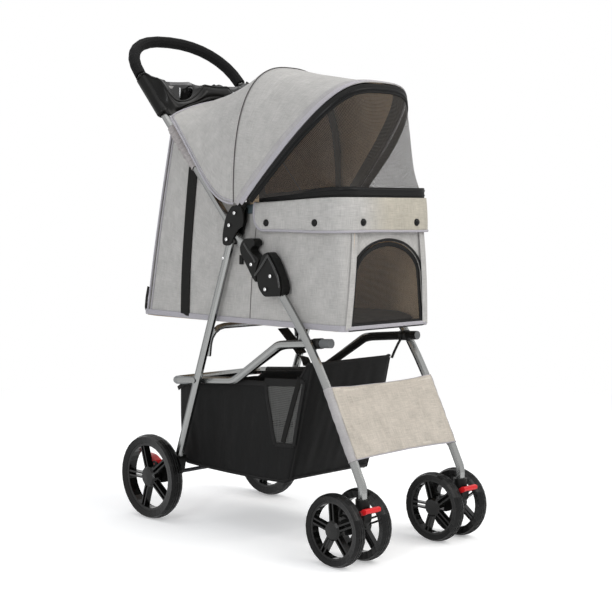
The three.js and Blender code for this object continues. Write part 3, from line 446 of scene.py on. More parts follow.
def foamFinish(name, base):
    # cellular foam: small pits and a soft dusty surface
    material, tree, shader = newFinish(name)
    place = coordinate(tree, "Object")
    cells = node(tree, "ShaderNodeTexVoronoi", {"Vector": place, "Scale": 750.0}).outputs["Distance"]
    lumps = noise(tree, place, 300.0, 3.0)
    bumped(tree, shader, lumps, 0.0005, 0.5, bumped(tree, shader, cells, 0.0006, 0.7))
    dress(tree, shader, {"Base Color": blendTones(tree, lumps, shaded(base, 0.6), shaded(base, 1.5)),
                         "Roughness": 0.8, "Specular IOR Level": 0.1})
    return material


greyLinen = linenFinish("greyLinen", tone(172, 170, 167), slub=0.2)
# the window flap's cloth, with painted warm light towards +X
warmLinen = linenFinish("warmLinen", tone(172, 170, 167), warmLightTone=tone(172, 166, 153), slub=0.22)
beigeLinen = linenFinish("beigeLinen", tone(182, 174, 163), slub=0.24)
lining = linenFinish("lining", tone(214, 188, 156), slub=0.22)
darkTape = wovenFinish("darkTape", tone(16, 13, 11), tone(34, 28, 24), pitch=0.0012, roughness=0.8)
lilacTape = wovenFinish("lilacTape", tone(156, 153, 158), tone(196, 193, 200), pitch=0.0009, roughness=0.55, sheen=0.1)
sleeveCloth = linenFinish("sleeveCloth", tone(158, 153, 152), slub=0.2)
paleHem = linenFinish("paleHem", tone(163, 160, 160), slub=0.16)
beigeHem = linenFinish("beigeHem", tone(192, 185, 174), slub=0.18)
seamPale = wovenFinish("seamPale", tone(128, 124, 118), tone(160, 156, 150), pitch=0.0012, roughness=0.8)
seamThread = wovenFinish("seamThread", tone(72, 68, 68), tone(108, 104, 104), pitch=0.0012, roughness=0.8)
blackTape = wovenFinish("blackTape", tone(9, 9, 9), tone(30, 29, 28), pitch=0.0013, roughness=0.62, gleam=0.2)
blackWebbing = wovenFinish("blackWebbing", tone(10, 10, 9), tone(36, 35, 33), pitch=0.0022, roughness=0.7,
                           depth=0.0007, gleam=0.15)
blackCanvas = wovenFinish("blackCanvas", tone(7, 7, 7), tone(24, 24, 24), pitch=0.0008, roughness=0.55,
                          depth=0.0002, gleam=0.14)
zipCoil = plasticFinish("zipCoil", tone(12, 12, 12), 0.35)
screenNet = netFinish("screenNet", tone(46, 41, 36), cover=0.43)
bagNet = netFinish("bagNet", tone(84, 84, 82), pitch=0.0034, cover=0.5)
steelFinish("silverSteel", tone(150, 151, 150), 0.24, 1.0)
greySteel = steelFinish("greySteel", tone(98, 112, 117), 0.42, 0.4)
steelFinish("darkSteel", tone(58, 58, 60), 0.3, 0.8)
brightSteel = steelFinish("brightSteel", tone(206, 206, 206), 0.2, 1.0, 0.01)
mattBlack = plasticFinish("mattBlack", tone(16, 16, 15), 0.4)
plasticFinish("hoopSleeve", tone(40, 33, 28), 0.8, grain=0.0002, grainScale=400.0)
cupGloss = plasticFinish("cupGloss", tone(10, 10, 10), 0.1, grain=0.000004, coat=0.7, gleam=0.4)
plasticFinish("plugGrey", tone(96, 98, 99), 0.4)
glossBlack = plasticFinish("glossBlack", tone(15, 15, 14), 0.34, grain=0.00001, coat=0.06, gleam=0.12)
rimBlack = plasticFinish("rimBlack", tone(10, 10, 9), 0.22, gleam=0.3)
plasticFinish("signalRed", tone(206, 30, 34), 0.32, coat=0.2)
tyreRubber = plasticFinish("tyreRubber", tone(12, 12, 12), 0.27, grain=0.00006, grainScale=500.0, gleam=0.2)
ridgeBlack = plasticFinish("ridgeBlack", tone(22, 22, 21), 0.2, grain=0.00003, gleam=0.5)
foamFinish("foamRubber", tone(20, 20, 20))
print("finishes made")

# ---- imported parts

partFinishes = {
    "silverSteel": ("handle_frame", "front_leg", "rear_leg", "rear_brace", "basket_frame"),
    "hoopSleeve": ("mid_hoop", "front_hoop"),
    "greySteel": ("rim_tube",),
    "brightSteel": ("front_axle",),
    "darkSteel": ("rear_axle",),
    "plugGrey": ("basket_plug",),
    "foamRubber": ("foam_grip",),
    "glossBlack": ("parent_tray",),
    "signalRed": ("swivel_lock", "brake_pedal"),
}


def finishFor(nodeName):
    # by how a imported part's name ends or starts; black plastic for the rest
    if nodeName.endswith("_tyre"):
        return tyreRubber
    if nodeName.endswith("_rim"):
        return rimBlack
    for finishName, starts in partFinishes.items():
        if nodeName.startswith(starts):
            return bpy.data.materials[finishName]
    return mattBlack


for nodeName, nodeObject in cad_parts.items():
    for place in nodeObject.material_slots:
        place.material = finishFor(nodeName)
print("packed parts finished")

# ---- handle line shared by the cabin and canopy

handle = {"pivot": (203.0, 478.0), "along": (0.6749, 0.7379), "halfSpan": 135.0}


def handleTopZ(y):
    # height of the handle tube's centre line at a place along the stroller
    return handle["pivot"][1] + (y - handle["pivot"][0]) * handle["along"][1] / handle["along"][0]


# ---- canopy

canopy = {
    "wall": 1.8, "across": 96, "along": 30, "sag": 4.0, "pucker": 0.7, "lowerDrop": 42.0,
    "hemWidth": 13.0, "edgeWidth": 11.0, "zipWidth": 17.0,
}
canopyMiddle = np.array([0, 260, 700])  # inside the canopy, to tell outwards from inwards
frontEdge = [(261, 638), (348, 551), (102, 805), (47, 857)]
hoopShapes = {
    "rear": dict(side=lambda t: np.stack([478 + 0 * t, 807 + 43 * t], -1), half=146.0, square=1.35, lift=0.0),
    "mid": dict(side=lambda t: np.stack([288 + 0 * t, 637 + 263 * t], -1), half=149.0, square=2.65, lift=0.0),
    "front": dict(side=lambda t: bezierCurve(frontEdge, t), half=150.0, square=2.8, lift=0.06),
}


def hoopLine(name, p, inset=0.0):
    # superellipse across, standing on a side curve: x = -w cos^(2/n), height share = sin^(2/n)
    hoop = hoopShapes[name]
    angle = np.pi * (hoop["lift"] + (1 - 2 * hoop["lift"]) * p)
    c, s = np.cos(angle), np.abs(np.sin(angle))
    yz = hoop["side"](np.minimum(s, 1) ** (2 / hoop["square"]))
    x = -(hoop["half"] - inset) * np.sign(c) * np.abs(c) ** (2 / hoop["square"])
    line = np.concatenate([x[..., None], yz], axis=-1)
    line[..., 2] -= inset * np.sin(np.pi * p)
    return line


def evenHoop(name, count, inset=0.0):
    # a hoop at equal distances
    return resample(hoopLine(name, np.linspace(0, 1, 1201), inset), count)


def canopyPanel(first, second, drop=0.0):
    # two hoops joined by straight threads, drawn in between them by the cloth's tension;
    # the side edges hang below the straight line by drop * q^1.2 * (1 - q^6)
    a, b = evenHoop(first, canopy["across"]), evenHoop(second, canopy["across"])
    q = np.linspace(0, 1, canopy["along"])[None, :]
    grid = between(a[:, None], b[:, None], q[..., None])
    p = np.linspace(0, 1, canopy["across"])[:, None]
    hang = drop * q ** 1.2 * (1 - q ** 6) * (1 - np.minimum(1, np.sin(np.pi * p) * 1.6)) ** 2
    grid = grid + hang[..., None] * [0, 0.738, -0.675]
    edge = np.exp(-(q / 0.16) ** 2) + np.exp(-((1 - q) / 0.16) ** 2)
    drawn = canopy["sag"] * np.sin(np.pi * q) ** 1.3 * np.sin(np.pi * p) ** 0.7
    drawn = drawn + canopy["pucker"] * edge * np.sin(np.pi * q) * ripple(p, q, [
        (0.6, 61, 5, 0.3), (0.5, 97, -7, 1.9), (0.4, 143, 4, 0.8)])
    drawn = drawn + 0.8 * np.sin(np.pi * q) * np.sin(np.pi * p) * ripple(p, q, [
        (0.7, 13, 6, 0.4), (0.6, 22, -5, 2.1), (0.4, 9, 12, 1.2)])
    outward = faceAway(gridNormals(grid), grid, canopyMiddle)
    return grid - drawn[..., None] * outward, outward


def bandAlong(grid, normals, width, height, shift=0.0, out=0.0, squareness=4.0):
    # a flat tape along the last column of a panel, moved sideways by shift and lifted by out
    across = unit(np.gradient(grid, axis=1)[:, -1])
    lift = normals[:, -1]
    return sweep(grid[:, -1] + shift * across + out * lift, ellipseProfile(width, height, 14, squareness), lift)


frontGrid, frontOut = canopyPanel("mid", "front")
rearGrid, rearOut = canopyPanel("rear", "mid", drop=canopy["lowerDrop"])
frontPanelPiece, rearPanelPiece = (
    makePiece(name, [(grid, greyLinen)], wall=canopy["wall"], liner=lining, closed=False, flip=True, hides=(nodeName,))
    for name, grid, nodeName in (("canopyFront", frontGrid, "canopy_front"), ("canopyRear", rearGrid, "canopy_rear")))
hem = makePiece("canopyHem", [
    (bandAlong(frontGrid, frontOut, canopy["hemWidth"], 3.0, shift=-canopy["edgeWidth"] - 6.0, out=0.3), paleHem),
    (bandAlong(frontGrid, frontOut, 1.2, 1.0, shift=-canopy["edgeWidth"] - 13.0, out=1.0), paleHem),
    (bandAlong(frontGrid, frontOut, canopy["edgeWidth"], 3.6, shift=-canopy["edgeWidth"] / 2, out=-0.3), lilacTape),
])
makePiece("canopyMidSeam", [
    (bandAlong(rearGrid, rearOut, 9.0, 1.8, shift=-5.0, out=0.4), greyLinen),
    (bandAlong(rearGrid, rearOut, 1.5, 1.4, shift=0.4, out=0.9), seamThread),
], body="canopy_mid")
makePiece("canopyInsideTape", [
    (bandAlong(rearGrid, rearOut, 15.0, 1.6, shift=-2.0, out=-13.0), darkTape)], body="canopy_mid")
makePiece("canopyFrontTape", [
    (bandAlong(frontGrid, frontOut, 26.0, 1.6, shift=-15.0, out=-5.0), darkTape)], body="canopy_front_hoop")


def rearEdge(row, radius, shift=0.0, out=0.0):
    # a round piping sewn along one side edge of the rear panel, moved inwards along it by shift
    inwards = unit(np.gradient(rearGrid, axis=0)[row]) * (1 if row == 0 else -1)
    path = rearGrid[row] + shift * inwards + out * rearOut[row]
    return sweep(path, ellipseProfile(radius * 2, radius * 2, 10), rearOut[row]), lilacTape


edgePatches = []
for row in (0, -1):
    edgePatches += [rearEdge(row, 2.3), rearEdge(row, 1.3, shift=6.0, out=0.6)]
edgePatches.append((sweep(rearGrid[:, 0], ellipseProfile(3.6, 3.0, 10), rearOut[:, 0]), lilacTape))
rearEdging = makePiece("canopyEdging", edgePatches)
print("canopy made")

tuple(inRow((0, 285, 760)))
tuple(inRow((0, 120, 840)))
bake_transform(frontPanelPiece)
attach(hem, "canopy_front_hoop")
tuple(inRow((0, 480, 830)))
tuple(inRow((0, 300, 860)))
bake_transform(rearEdging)
tuple(inRow((0, 480, 830)))
tuple(inRow((0, 300, 860)))
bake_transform(rearPanelPiece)

# ---- cabin

cabin = {
    "halfWidth": 114.0, "corner": 9.0, "topCorner": 30.0, "front": 32.0, "rear": 608.0, "rearTop": 517.0,
    "floor": 410.0, "rim": 655.0, "top": 800.0, "wall": 3.0, "bulge": 3.0,
    "jamb": 105.0, "strapWidth": 27.0, "trimHeight": 11.0,
}


def planLoop(rear, frontCorner):
    # from the front wall's left jamb, back along the left side and round to the right jamb
    return mirrored(leftPlan(cabin["halfWidth"], cabin["front"], rear, (frontCorner, cabin["corner"]), (8, 64, 24)))


def cabinTopAt(y):
    # level rim in front, then the handle's line, down a little to the rear wall's top
    return np.where(y > 509, cabin["top"], np.maximum(cabin["rim"], np.minimum(handleTopZ(y), 809)))


lowPlan = planLoop(cabin["rear"], cabin["corner"])
highPlan = planLoop(cabin["rearTop"], cabin["topCorner"])
planNormal = planOut(lowPlan, [0, 320])


def cabinWall(index, share, out=0.0):
    # straight from the floor plan to the top plan; bulges by sin(pi v) and soft cloth waves
    low, high, normal = (np.stack([np.interp(index, np.arange(len(a)), a[:, k]) for k in (0, 1)], -1)
                         for a in (lowPlan, highPlan, planNormal))
    share = np.asarray(share, float)
    place = between(low, high, share[..., None])
    z = cabin["floor"] + share * (cabinTopAt(high[..., 1]) - cabin["floor"])
    soft = np.sin(np.pi * np.clip(share, 0, 1))
    level = (index - 57) / 10
    waves = ripple(level, share, [(0.6, 3.1, 2.0, 0.2), (0.5, 5.3, -4.0, 1.7),
                                  (0.35, 8.9, 3.0, 0.5), (0.3, 13.7, -2.0, 2.6)])
    bulge = cabin["bulge"] * soft + waves * soft ** 0.5
    return withZ(place + normal * (bulge + out)[..., None], z)


def indexAtY(y, side):
    # station on the loop whose low plan has this Y, on the left (1) or right (-1) side
    half = len(lowPlan) // 2
    left = np.interp(y, lowPlan[:half + 1, 1], np.arange(half + 1))
    return left if side > 0 else len(lowPlan) - 1 - left


stations = np.arange(len(lowPlan), dtype=float)
shellIndex, shellShare = np.meshgrid(stations, np.linspace(0, 1, 40), indexing="ij")
shellGrid = cabinWall(shellIndex, shellShare)


def archLine(count, inset=0.0, lift=3.0):
    # straight jambs, then half an ellipse over the top; from right foot to left foot
    footHalf, shoulder = 102.0 - inset, 92.0 - inset
    angle = np.linspace(np.pi, 0, 121)
    top = np.stack([shoulder * np.cos(angle), 503 + (65 - inset) * np.sin(angle)], 1)
    foot = cabin["floor"] + lift
    return resample(np.concatenate([[[-footHalf, foot]], top, [[footHalf, foot]]]), count)


def frontWallAt(x, z, out=0.0):
    # flat front, bulging like the rest, fading out at the jambs
    share = np.clip((z - cabin["floor"]) / (cabin["rim"] - cabin["floor"]), 0, 1)
    waves = ripple(x / 30, share, [(1, 1.2, 3, 0), (0.6, 2.3, -5, 1)])
    bulge = cabin["bulge"] * np.sin(np.pi * share) * 0.5 + 0.5 * waves * np.sin(np.pi * share)
    return np.stack([x, cabin["front"] - bulge - out + 0 * x, z], -1)


arch = archLine(97)
centre = np.array([0, 490.0])
ray = arch - centre
reachSide = cabin["jamb"] / np.maximum(np.abs(ray[:, 0]), 1e-6)
reachUp = np.where(ray[:, 1] > 0, (cabin["rim"] - centre[1]) / np.maximum(np.abs(ray[:, 1]), 1e-6),
                   (centre[1] - cabin["floor"]) / np.maximum(np.abs(ray[:, 1]), 1e-6))
outerEdge = centre + ray * np.minimum(reachSide, reachUp)[:, None]
for cornerX in (-1, 1):
    spot = np.array([cornerX * cabin["jamb"], cabin["rim"]])
    outerEdge[np.argmin(np.linalg.norm(outerEdge - spot, axis=1))] = spot
spread = np.linspace(0, 1, 14)[None, :, None]
frontFace = between(arch[:, None], outerEdge[:, None], spread)
faceShare = np.clip((frontFace[..., 1] - cabin["floor"]) / (cabin["rim"] - cabin["floor"]), 0, 1)
flatHalf = cabin["halfWidth"] - cabin["corner"] * (1 - faceShare) - cabin["topCorner"] * faceShare
faceX = frontFace[..., 0]
frontFace[..., 0] = between(faceX, np.clip(faceX, -flatHalf, flatHalf), spread[..., 0])
frontWallGrid = frontWallAt(frontFace[..., 0], frontFace[..., 1])
jambs = {1: shellGrid[0], -1: shellGrid[-1]}
for side, jamb in jambs.items():
    outer = frontWallGrid[:, -1].copy()
    onSide = np.abs(outer[:, 0] - side * flatHalf[:, -1]) < 0.01
    pull = np.stack([np.interp(outer[:, 2], jamb[:, 2], jamb[:, k]) - outer[:, k] for k in (0, 1)], 1)
    frontWallGrid[..., :2] += (pull * onSide[:, None])[:, None] * spread ** 3
floorIn = np.linspace(0, 1, 16)[None, :, None]
floorCentre = np.array([0, 315.0])
floorLoop = np.concatenate([lowPlan, lowPlan[-1] + (lowPlan[0] - lowPlan[-1]) * np.linspace(0, 1, 30)[1:, None]])
floorZ = cabin["floor"] - 5 * np.sin(np.pi / 2 * floorIn[..., 0]) ** 0.8
floorGrid = withZ(fanIn(floorLoop, floorCentre, floorIn), floorZ)
shellPiece = makePiece("cabinShell", [(shellGrid, greyLinen), (frontWallGrid, greyLinen), (floorGrid, blackCanvas)],
                       body=None, wall=cabin["wall"], liner=lining, closed=False, hides=("cabin_shell",))
print("cabin walls made")

# ---- cabin trims: bottom band, straps, seams, double rear piping, rim zip

loopIndex = np.linspace(0, len(lowPlan) - 1, 220)
bottomPath = cabinWall(loopIndex, np.full(220, 0.012), out=1.0)
loopNormal = withZ(np.stack([np.interp(loopIndex, stations, planNormal[:, k]) for k in (0, 1)], -1))
frontTrimX = np.linspace(-cabin["jamb"], cabin["jamb"], 30)
frontTrim = frontWallAt(frontTrimX, np.full(30, 413.0), out=1.0)
trims = [
    (sweep(bottomPath, ellipseProfile(cabin["trimHeight"], 3.0, 14, 4), loopNormal), lilacTape),
    (sweep(frontTrim, ellipseProfile(7.0, 3.0, 14, 4), (0, -1, 0)), lilacTape),
]
for jamb in jambs.values():
    # a linen strip over the seam of the front and side walls
    trims.append((sweep(resample(jamb, 60) - [0, 1.4, 0], ellipseProfile(14.0, 1.8, 18, 4), (0, -1, 0)), greyLinen))


def upright(side, yLow, yHigh, low, high, out=0.8):
    # a line up the side wall from one station to another
    return cabinWall(indexAtY(np.linspace(yLow, yHigh, 36), side), np.linspace(low, high, 36), out)


strapPatches = []
for sideName, side in mirrorSides:
    trims.append((sweep(upright(side, 281, 281, 0.02, 0.98), ellipseProfile(1.2, 0.9, 8), (side, 0, 0)), seamThread))
    for behind, radius in ((598, 2.6), (588, 1.6)):
        trims.append((sweep(upright(side, behind, behind, 0.01, 0.985, out=0.9),
                            ellipseProfile(radius * 2, radius * 1.4, 10), (side, 0.3, 0)), lilacTape))
    trims.append((sweep(upright(side, 593, 593, 0.01, 0.985, out=0.7), ellipseProfile(1.4, 1.0, 8),
                        (side, 0, 0)), seamThread))
    strapPatches.append((sweep(upright(side, 475, 514, 0.012, 0.975, out=1.5),
                               ellipseProfile(cabin["strapWidth"], 1.8, 20, 6), (side, 0, 0)), blackWebbing))
for side in (-1, 1):
    tab = rounded([(side * 112, 597, 466), (side * 112, 603, 445), (side * 111, 608, 422),
                   (side * 109, 605, 412)], 24, 1)
    trims.append((sweep(tab, ellipseProfile(7, 2.6, 12, 4), (side, 0, 0)), blackTape))
trimPiece = makePiece("cabinTrims", trims)
strapPiece = makePiece("cabinStraps", strapPatches)

rim = {"half": 117.4, "front": 28.6, "endY": 238, "corner": 33.0, "band": 19.0}
rimPath, rimOut = frontWrap(rim, 8, 200)
rimOut3 = withZ(rimOut)
rimU = np.linspace(-1, 1, 200)
rimZ = 656.5 - 10.5 * ramp(np.abs(rimU), 0.3, 1.0) + 0.7 * np.sin(np.linspace(0, 9, 200))
rimPath3 = withZ(rimPath, rimZ)
rimBands = [
    (sweep(rimPath3 + rimOut3 * 0.6, ellipseProfile(rim["band"], 2.2, 18, 5), rimOut3), blackTape),
    (sweep(rimPath3 + rimOut3 * 1.6 + [0, 0, 4.4], ellipseProfile(4.6, 2.6, 10), rimOut3), zipCoil),
    (sweep(rimPath3 + rimOut3 * 1.6 - [0, 0, 4.4], ellipseProfile(3.0, 2.2, 10), rimOut3), blackTape),
]
for side in (-1, 1):
    rimBands.append((sweep([(side * 117.4, 240, 636), (side * 119, 240, 652), (side * 125, 237, 672)],
                           ellipseProfile(16, 2.4, 12, 4), (side, -0.2, 0)), blackTape))
rimPiece = makePiece("rimZip", rimBands)
rimTube = {"half": 118.3, "front": 27.7, "endY": 292, "corner": 34.0, "z": 627.0, "tall": 18.0, "thick": 8.0}
tubePlan, tubeOut = frontWrap(rimTube, 12, 160)
tubeLine = withZ(tubePlan, rimTube["z"])
rimTubePiece = makePiece("rimTube", [(sweep(tubeLine, ellipseProfile(rimTube["tall"], rimTube["thick"], 20, 3.2),
                                            withZ(tubeOut)), greySteel)], hides=("rim_tube",))
print("cabin trims made")

# ---- window flap

flap = {"low": 586.0, "high": 647.0, "endRound": 27.0, "wall": 2.2,
        "half": 124.8, "front": 22.6, "endY": 256.0, "corner": 40.0}
flapPath, flapOut = frontWrap(flap, 10, 241)
flapAlong = np.concatenate([[0], np.cumsum(np.linalg.norm(np.diff(flapPath, axis=0), axis=1))])
endNear = np.minimum(flapAlong, flapAlong[-1] - flapAlong)
endRound = flap["endRound"]
rounding = endRound - np.sqrt(np.maximum(endRound ** 2 - np.maximum(endRound - endNear, 0) ** 2, 0))
flapLowZ = flap["low"] + rounding + 0.6 * np.sin(flapAlong / 37)
flapT = np.linspace(0, 1, 16)[None, :]
flapHighZ = flap["high"] - 8 * ramp(np.abs(np.linspace(-1, 1, 241)), 0.35, 1.0)
flapLean = (1.8 * np.exp(-(flapT / 0.35) ** 2) * (0.6 + 0.4 * np.cos(flapAlong[:, None] / 23))
            - 1.2 * flapT ** 3 + 1.2 * np.sin(np.pi * flapT))
flapGrid = withZ(flapPath[:, None] + flapOut[:, None] * flapLean[..., None],
                 between(flapLowZ[:, None], flapHighZ[:, None], flapT))
# the flap carries the painted warm light of warmLinen
flapPiece = makePiece("windowFlap", [(flapGrid, warmLinen)], wall=flap["wall"], liner=lining, closed=False,
                      hides=("window_flap",))
flapNormal = withZ(flapOut)
flapEdge = np.concatenate([flapGrid[0, :0:-1], flapGrid[:, 0], flapGrid[-1, 1:]])
edgeNormal = np.concatenate([np.tile(flapNormal[0], (15, 1)), flapNormal, np.tile(flapNormal[-1], (15, 1))])
flapPiping = makePiece("flapPiping", [(sweep(flapEdge, ellipseProfile(4.6, 3.6, 12, 2.5), edgeNormal), lilacTape)])


def flapSnap(z, side=0, y=None, x=None):
    # a domed snap on the flap's outer face, at the plan station nearest to y on one side or to x in front
    if side:
        near = np.argmin(np.abs(flapPath[:, 1] - y) + 1000 * (np.sign(flapPath[:, 0]) != side)
                         + 1000 * (np.abs(flapPath[:, 0]) < 100))
    else:
        near = np.argmin(np.abs(flapPath[:, 0] - x) + 1000 * (flapPath[:, 1] > 60))
    place = flapGrid[near, np.argmin(np.abs(flapGrid[near, :, 2] - z))]
    return lathe(snapProfile, place + flapNormal[near] * 0.5, flapNormal[near], 20), zipCoil


snapProfile = [(0, 3.4), (3.0, 3.2), (5.2, 2.4), (6.6, 0.9), (6.8, -0.8), (0, -0.8)]
snapPatches = [flapSnap(601, -1, 223), flapSnap(601, -1, 94), flapSnap(602, x=-76), flapSnap(602, x=69),
               flapSnap(601, 1, 94), flapSnap(601, 1, 223)]
snapPiece = makePiece("flapSnaps", snapPatches)
print("window flap made")

# ---- mesh screen with its zip band

screen = {"half": 112.5, "rearY": 238, "frontY": 35, "low": 660, "squareness": 1 / 6}


def spreadOut(value):
    # sign(v) |v|^(1/6), which squares the corners of a circle's plan
    return np.sign(value) * np.abs(value) ** screen["squareness"]


rimAngle = np.pi * np.linspace(0.028, 0.972, 97)
screenPlan = np.stack([-screen["half"] * spreadOut(np.cos(rimAngle)),
                       screen["rearY"] - (screen["rearY"] - screen["frontY"]) * spreadOut(np.sin(rimAngle))], 1)
screenLow = resample(withZ(screenPlan, screen["low"]), 97)
screenHigh = resample(hoopLine("front", np.linspace(0.01, 0.99, 801), inset=2.5), 97) - [0, 0, 1.5]
q = np.linspace(0, 1, 26)[None, :, None]
screenGrid = between(screenLow[:, None], screenHigh[:, None], q)
screenOut = faceAway(gridNormals(screenGrid), screenGrid, canopyMiddle)
bellied = 2.5 + 9.5 * np.exp(-((np.abs(np.linspace(-1, 1, 97)) - 0.45) / 0.3) ** 2)[:, None, None]
screenGrid = screenGrid + screenOut * bellied * np.sin(np.pi * q) ** 0.9
screenPiece = makePiece("screenMesh", [(screenGrid, screenNet)], closed=False, hides=("mesh_screen",))
zipWidth = canopy["zipWidth"]
zipPiece = makePiece("screenZip", [
    (bandAlong(screenGrid, screenOut, zipWidth, 2.2, shift=-zipWidth / 2, out=0.4, squareness=5), blackTape),
    (bandAlong(screenGrid, screenOut, 4.4, 2.4, shift=-zipWidth / 2 - 1, out=1.4), zipCoil),
    (bandAlong(screenGrid, screenOut, 2.4, 1.8, shift=-zipWidth + 1.5, out=1.2), blackTape)])
print("screen made")

# ---- front door

door = {"bind": 8.0, "faceY": 33.2, "bindY": 32.2, "archY": 30.6, "foot": 415.0}
doorFoot = archLine(121, inset=2.5, lift=4.5)
doorT = np.linspace(0, 1, 12)[None, :]
doorBase = np.stack([doorFoot[:, 0], np.full(121, door["foot"])], 1)
doorX, doorZ = np.moveaxis(between(doorFoot[:, None], doorBase[:, None], doorT[..., None]), -1, 0)
doorSlack = 2.0 * np.sin(np.pi * np.clip((doorZ - door["foot"]) / 150, 0, 1))
doorGrid = np.stack([doorX, door["faceY"] - doorSlack, doorZ], -1)
doorUv = doorGrid[..., [0, 2]] / 1000 + 0.5
doorMesh = makePiece("doorMesh", [(doorGrid, screenNet, doorUv)], body="door", closed=False, hides=("front_door",))
doorEdge = archLine(121, inset=6.0, lift=6.0)
edgePath = np.stack([doorEdge[:, 0], np.full(121, door["bindY"]), doorEdge[:, 1]], 1)
footPath = np.stack([np.linspace(-98, 98, 40), np.full(40, door["bindY"]), np.full(40, 417.5)], 1)
makePiece("doorBinding", [
    (sweep(edgePath, ellipseProfile(door["bind"], 2.4, 14, 4), (0, -1, 0)), blackTape),
    (sweep(edgePath + [0, -1.2, 0], ellipseProfile(2.4, 1.6, 10), (0, -1, 0)), zipCoil),
    (sweep(footPath, ellipseProfile(7.0, 2.4, 14, 4), (0, -1, 0)), blackTape)], body="door")
archEdge = archLine(121, inset=-2.5, lift=2.0)
archPath = np.stack([archEdge[:, 0], np.full(121, door["archY"]), archEdge[:, 1]], 1)
archBind = makePiece("archBinding", [
    (sweep(archPath, ellipseProfile(5.0, 2.2, 12, 4), (0, -1, 0)), blackTape)])
print("door made")

# ---- front panel across the legs

panel = {"low": 184.0, "high": 305.0, "legX": 135.0, "sleeve": 9.0, "wall": 1.6, "hem": 8.0}
legForward = np.array([0, -0.8896, 0.4567])


def legAt(z):
    # the leg's centre line under its long bend: y = -35 + 0.5134 (z - 138)
    return -35 + (z - 138) * 0.5134


def panelAt(across, share, out=0.0):
    # across runs -1..1 from leg to leg; the cloth passes in front of the legs and leans back
    # between them by 3.5 (1 - across^2); its two long edges bow towards its middle
    z = panel["low"] + (panel["high"] - panel["low"]) * share
    z = z + (1 - across ** 2) * (3.0 * (1 - share) - 3.0 * share)
    waves = ripple(across, share, [(0.9, 5, 2, 0.2), (0.6, 11, -3, 1.3), (0.5, 3, 7, 2.2), (0.35, 19, 4, 0.4)])
    creases = 0.9 * np.exp(-((np.abs(across) - 0.9) / 0.05) ** 2) * np.sin(38 * share + 3 * across)
    lift = panel["sleeve"] - 3.5 * (1 - across ** 2) + (waves + creases) * (1 - across ** 8) + out
    return np.stack([panel["legX"] * across, legAt(z), z], -1) + lift[..., None] * legForward


panelU, panelV = np.meshgrid(np.linspace(-1, 1, 121), np.linspace(0, 1, 40), indexing="ij")
panelGrid = panelAt(panelU, panelV)
panelPatches = [(panelGrid, beigeLinen)]
for v in (0.0, 1.0):
    edgeU = np.linspace(-1, 1, 90)
    inwards = 0.032 if v == 0 else -0.032
    upwards = np.gradient(panelAt(0 * edgeU, np.linspace(0, 1, 90)), axis=0)
    for reach, out, profile, lift, material in (
            (inwards, 0.3, ellipseProfile(2.6, panel["hem"], 12, 4), upwards, beigeHem),
            (0.0, 0.0, ellipseProfile(3.4, 3.0, 10), (0, 0, 1), lilacTape),
            (2.1 * inwards, 0.9, ellipseProfile(1.2, 0.9, 8), (0, 0, 1), seamPale)):
        panelPatches.append((sweep(panelAt(edgeU, np.full(90, v + reach), out=out), profile, lift), material))
sleeveZ = np.linspace(panel["low"] - 1, panel["high"] + 1, 60)
for side in (-1, 1):
    line = np.stack([np.full(60, side * panel["legX"]), legAt(sleeveZ), sleeveZ], 1)
    puff = 1 + 0.03 * np.sin(sleeveZ / 3.1) + 0.03 * np.sin(sleeveZ / 7.7 + side)
    tube = sweep(line, ellipseProfile(2 * panel["sleeve"], 2 * panel["sleeve"] + 0.6, 28), legForward, caps=False)
    tube = line[:, None] + (tube - line[:, None]) * puff[:, None, None]
    panelPatches.append((tube, paleHem))
    panelPatches.append((sweep(panelAt(np.full(60, side * 0.925), np.linspace(0, 1, 60), out=0.4),
                               ellipseProfile(1.3, 1.0, 8), legForward), seamPale))
frontPanelCloth = makePiece("frontPanel", panelPatches[:1], wall=panel["wall"], liner=None, closed=False, flip=True,
                            body="front_legs", hides=("front_panel",))
makePiece("frontPanelTrim", panelPatches[1:], body="front_legs")
print("front panel made")

# ---- basket bag

bag = {"half": 109.0, "low": 113.0, "roundRear": 24.0, "roundFront": 13.0, "corner": 13.0, "wall": 1.6, "bulge": 5.0,
       "foot": 112.0, "frontTop": 344.0, "rearTop": 268.0, "frontY": 177.0, "rearY": 498.0, "calm": 30.0,
       "window": [(243, 303.0), (136, 309.0), (163, 187.0), (213, 183.0)]}
bagTopY = [112, 128, 150, 250, 322, 480, 488, 510]
bagTopZ = [344, 344, 307, 299, 295.5, 281, 268, 268]


def bagFront(z):
    # the front wall leans forwards by 62 in 234
    return bag["frontY"] - (z - bag["foot"]) * 62 / 234


def bagRear(z):
    # the rear wall leans back by 7.6 in 150
    return bag["rearY"] + (z - bag["foot"]) * 7.6 / 150


def bagPlan(frontY, rearY):
    # a closed loop with rounded corners, from the middle of the front; same stations for any depth
    half, corner = bag["half"], bag["corner"]
    front = np.stack([np.linspace(0, half - corner, 26), np.full(26, frontY)], 1)
    side = leftPlan(half, frontY, rearY, (corner, corner), (7, 96, 24))
    return mirrored(np.concatenate([front, side[1:]]))


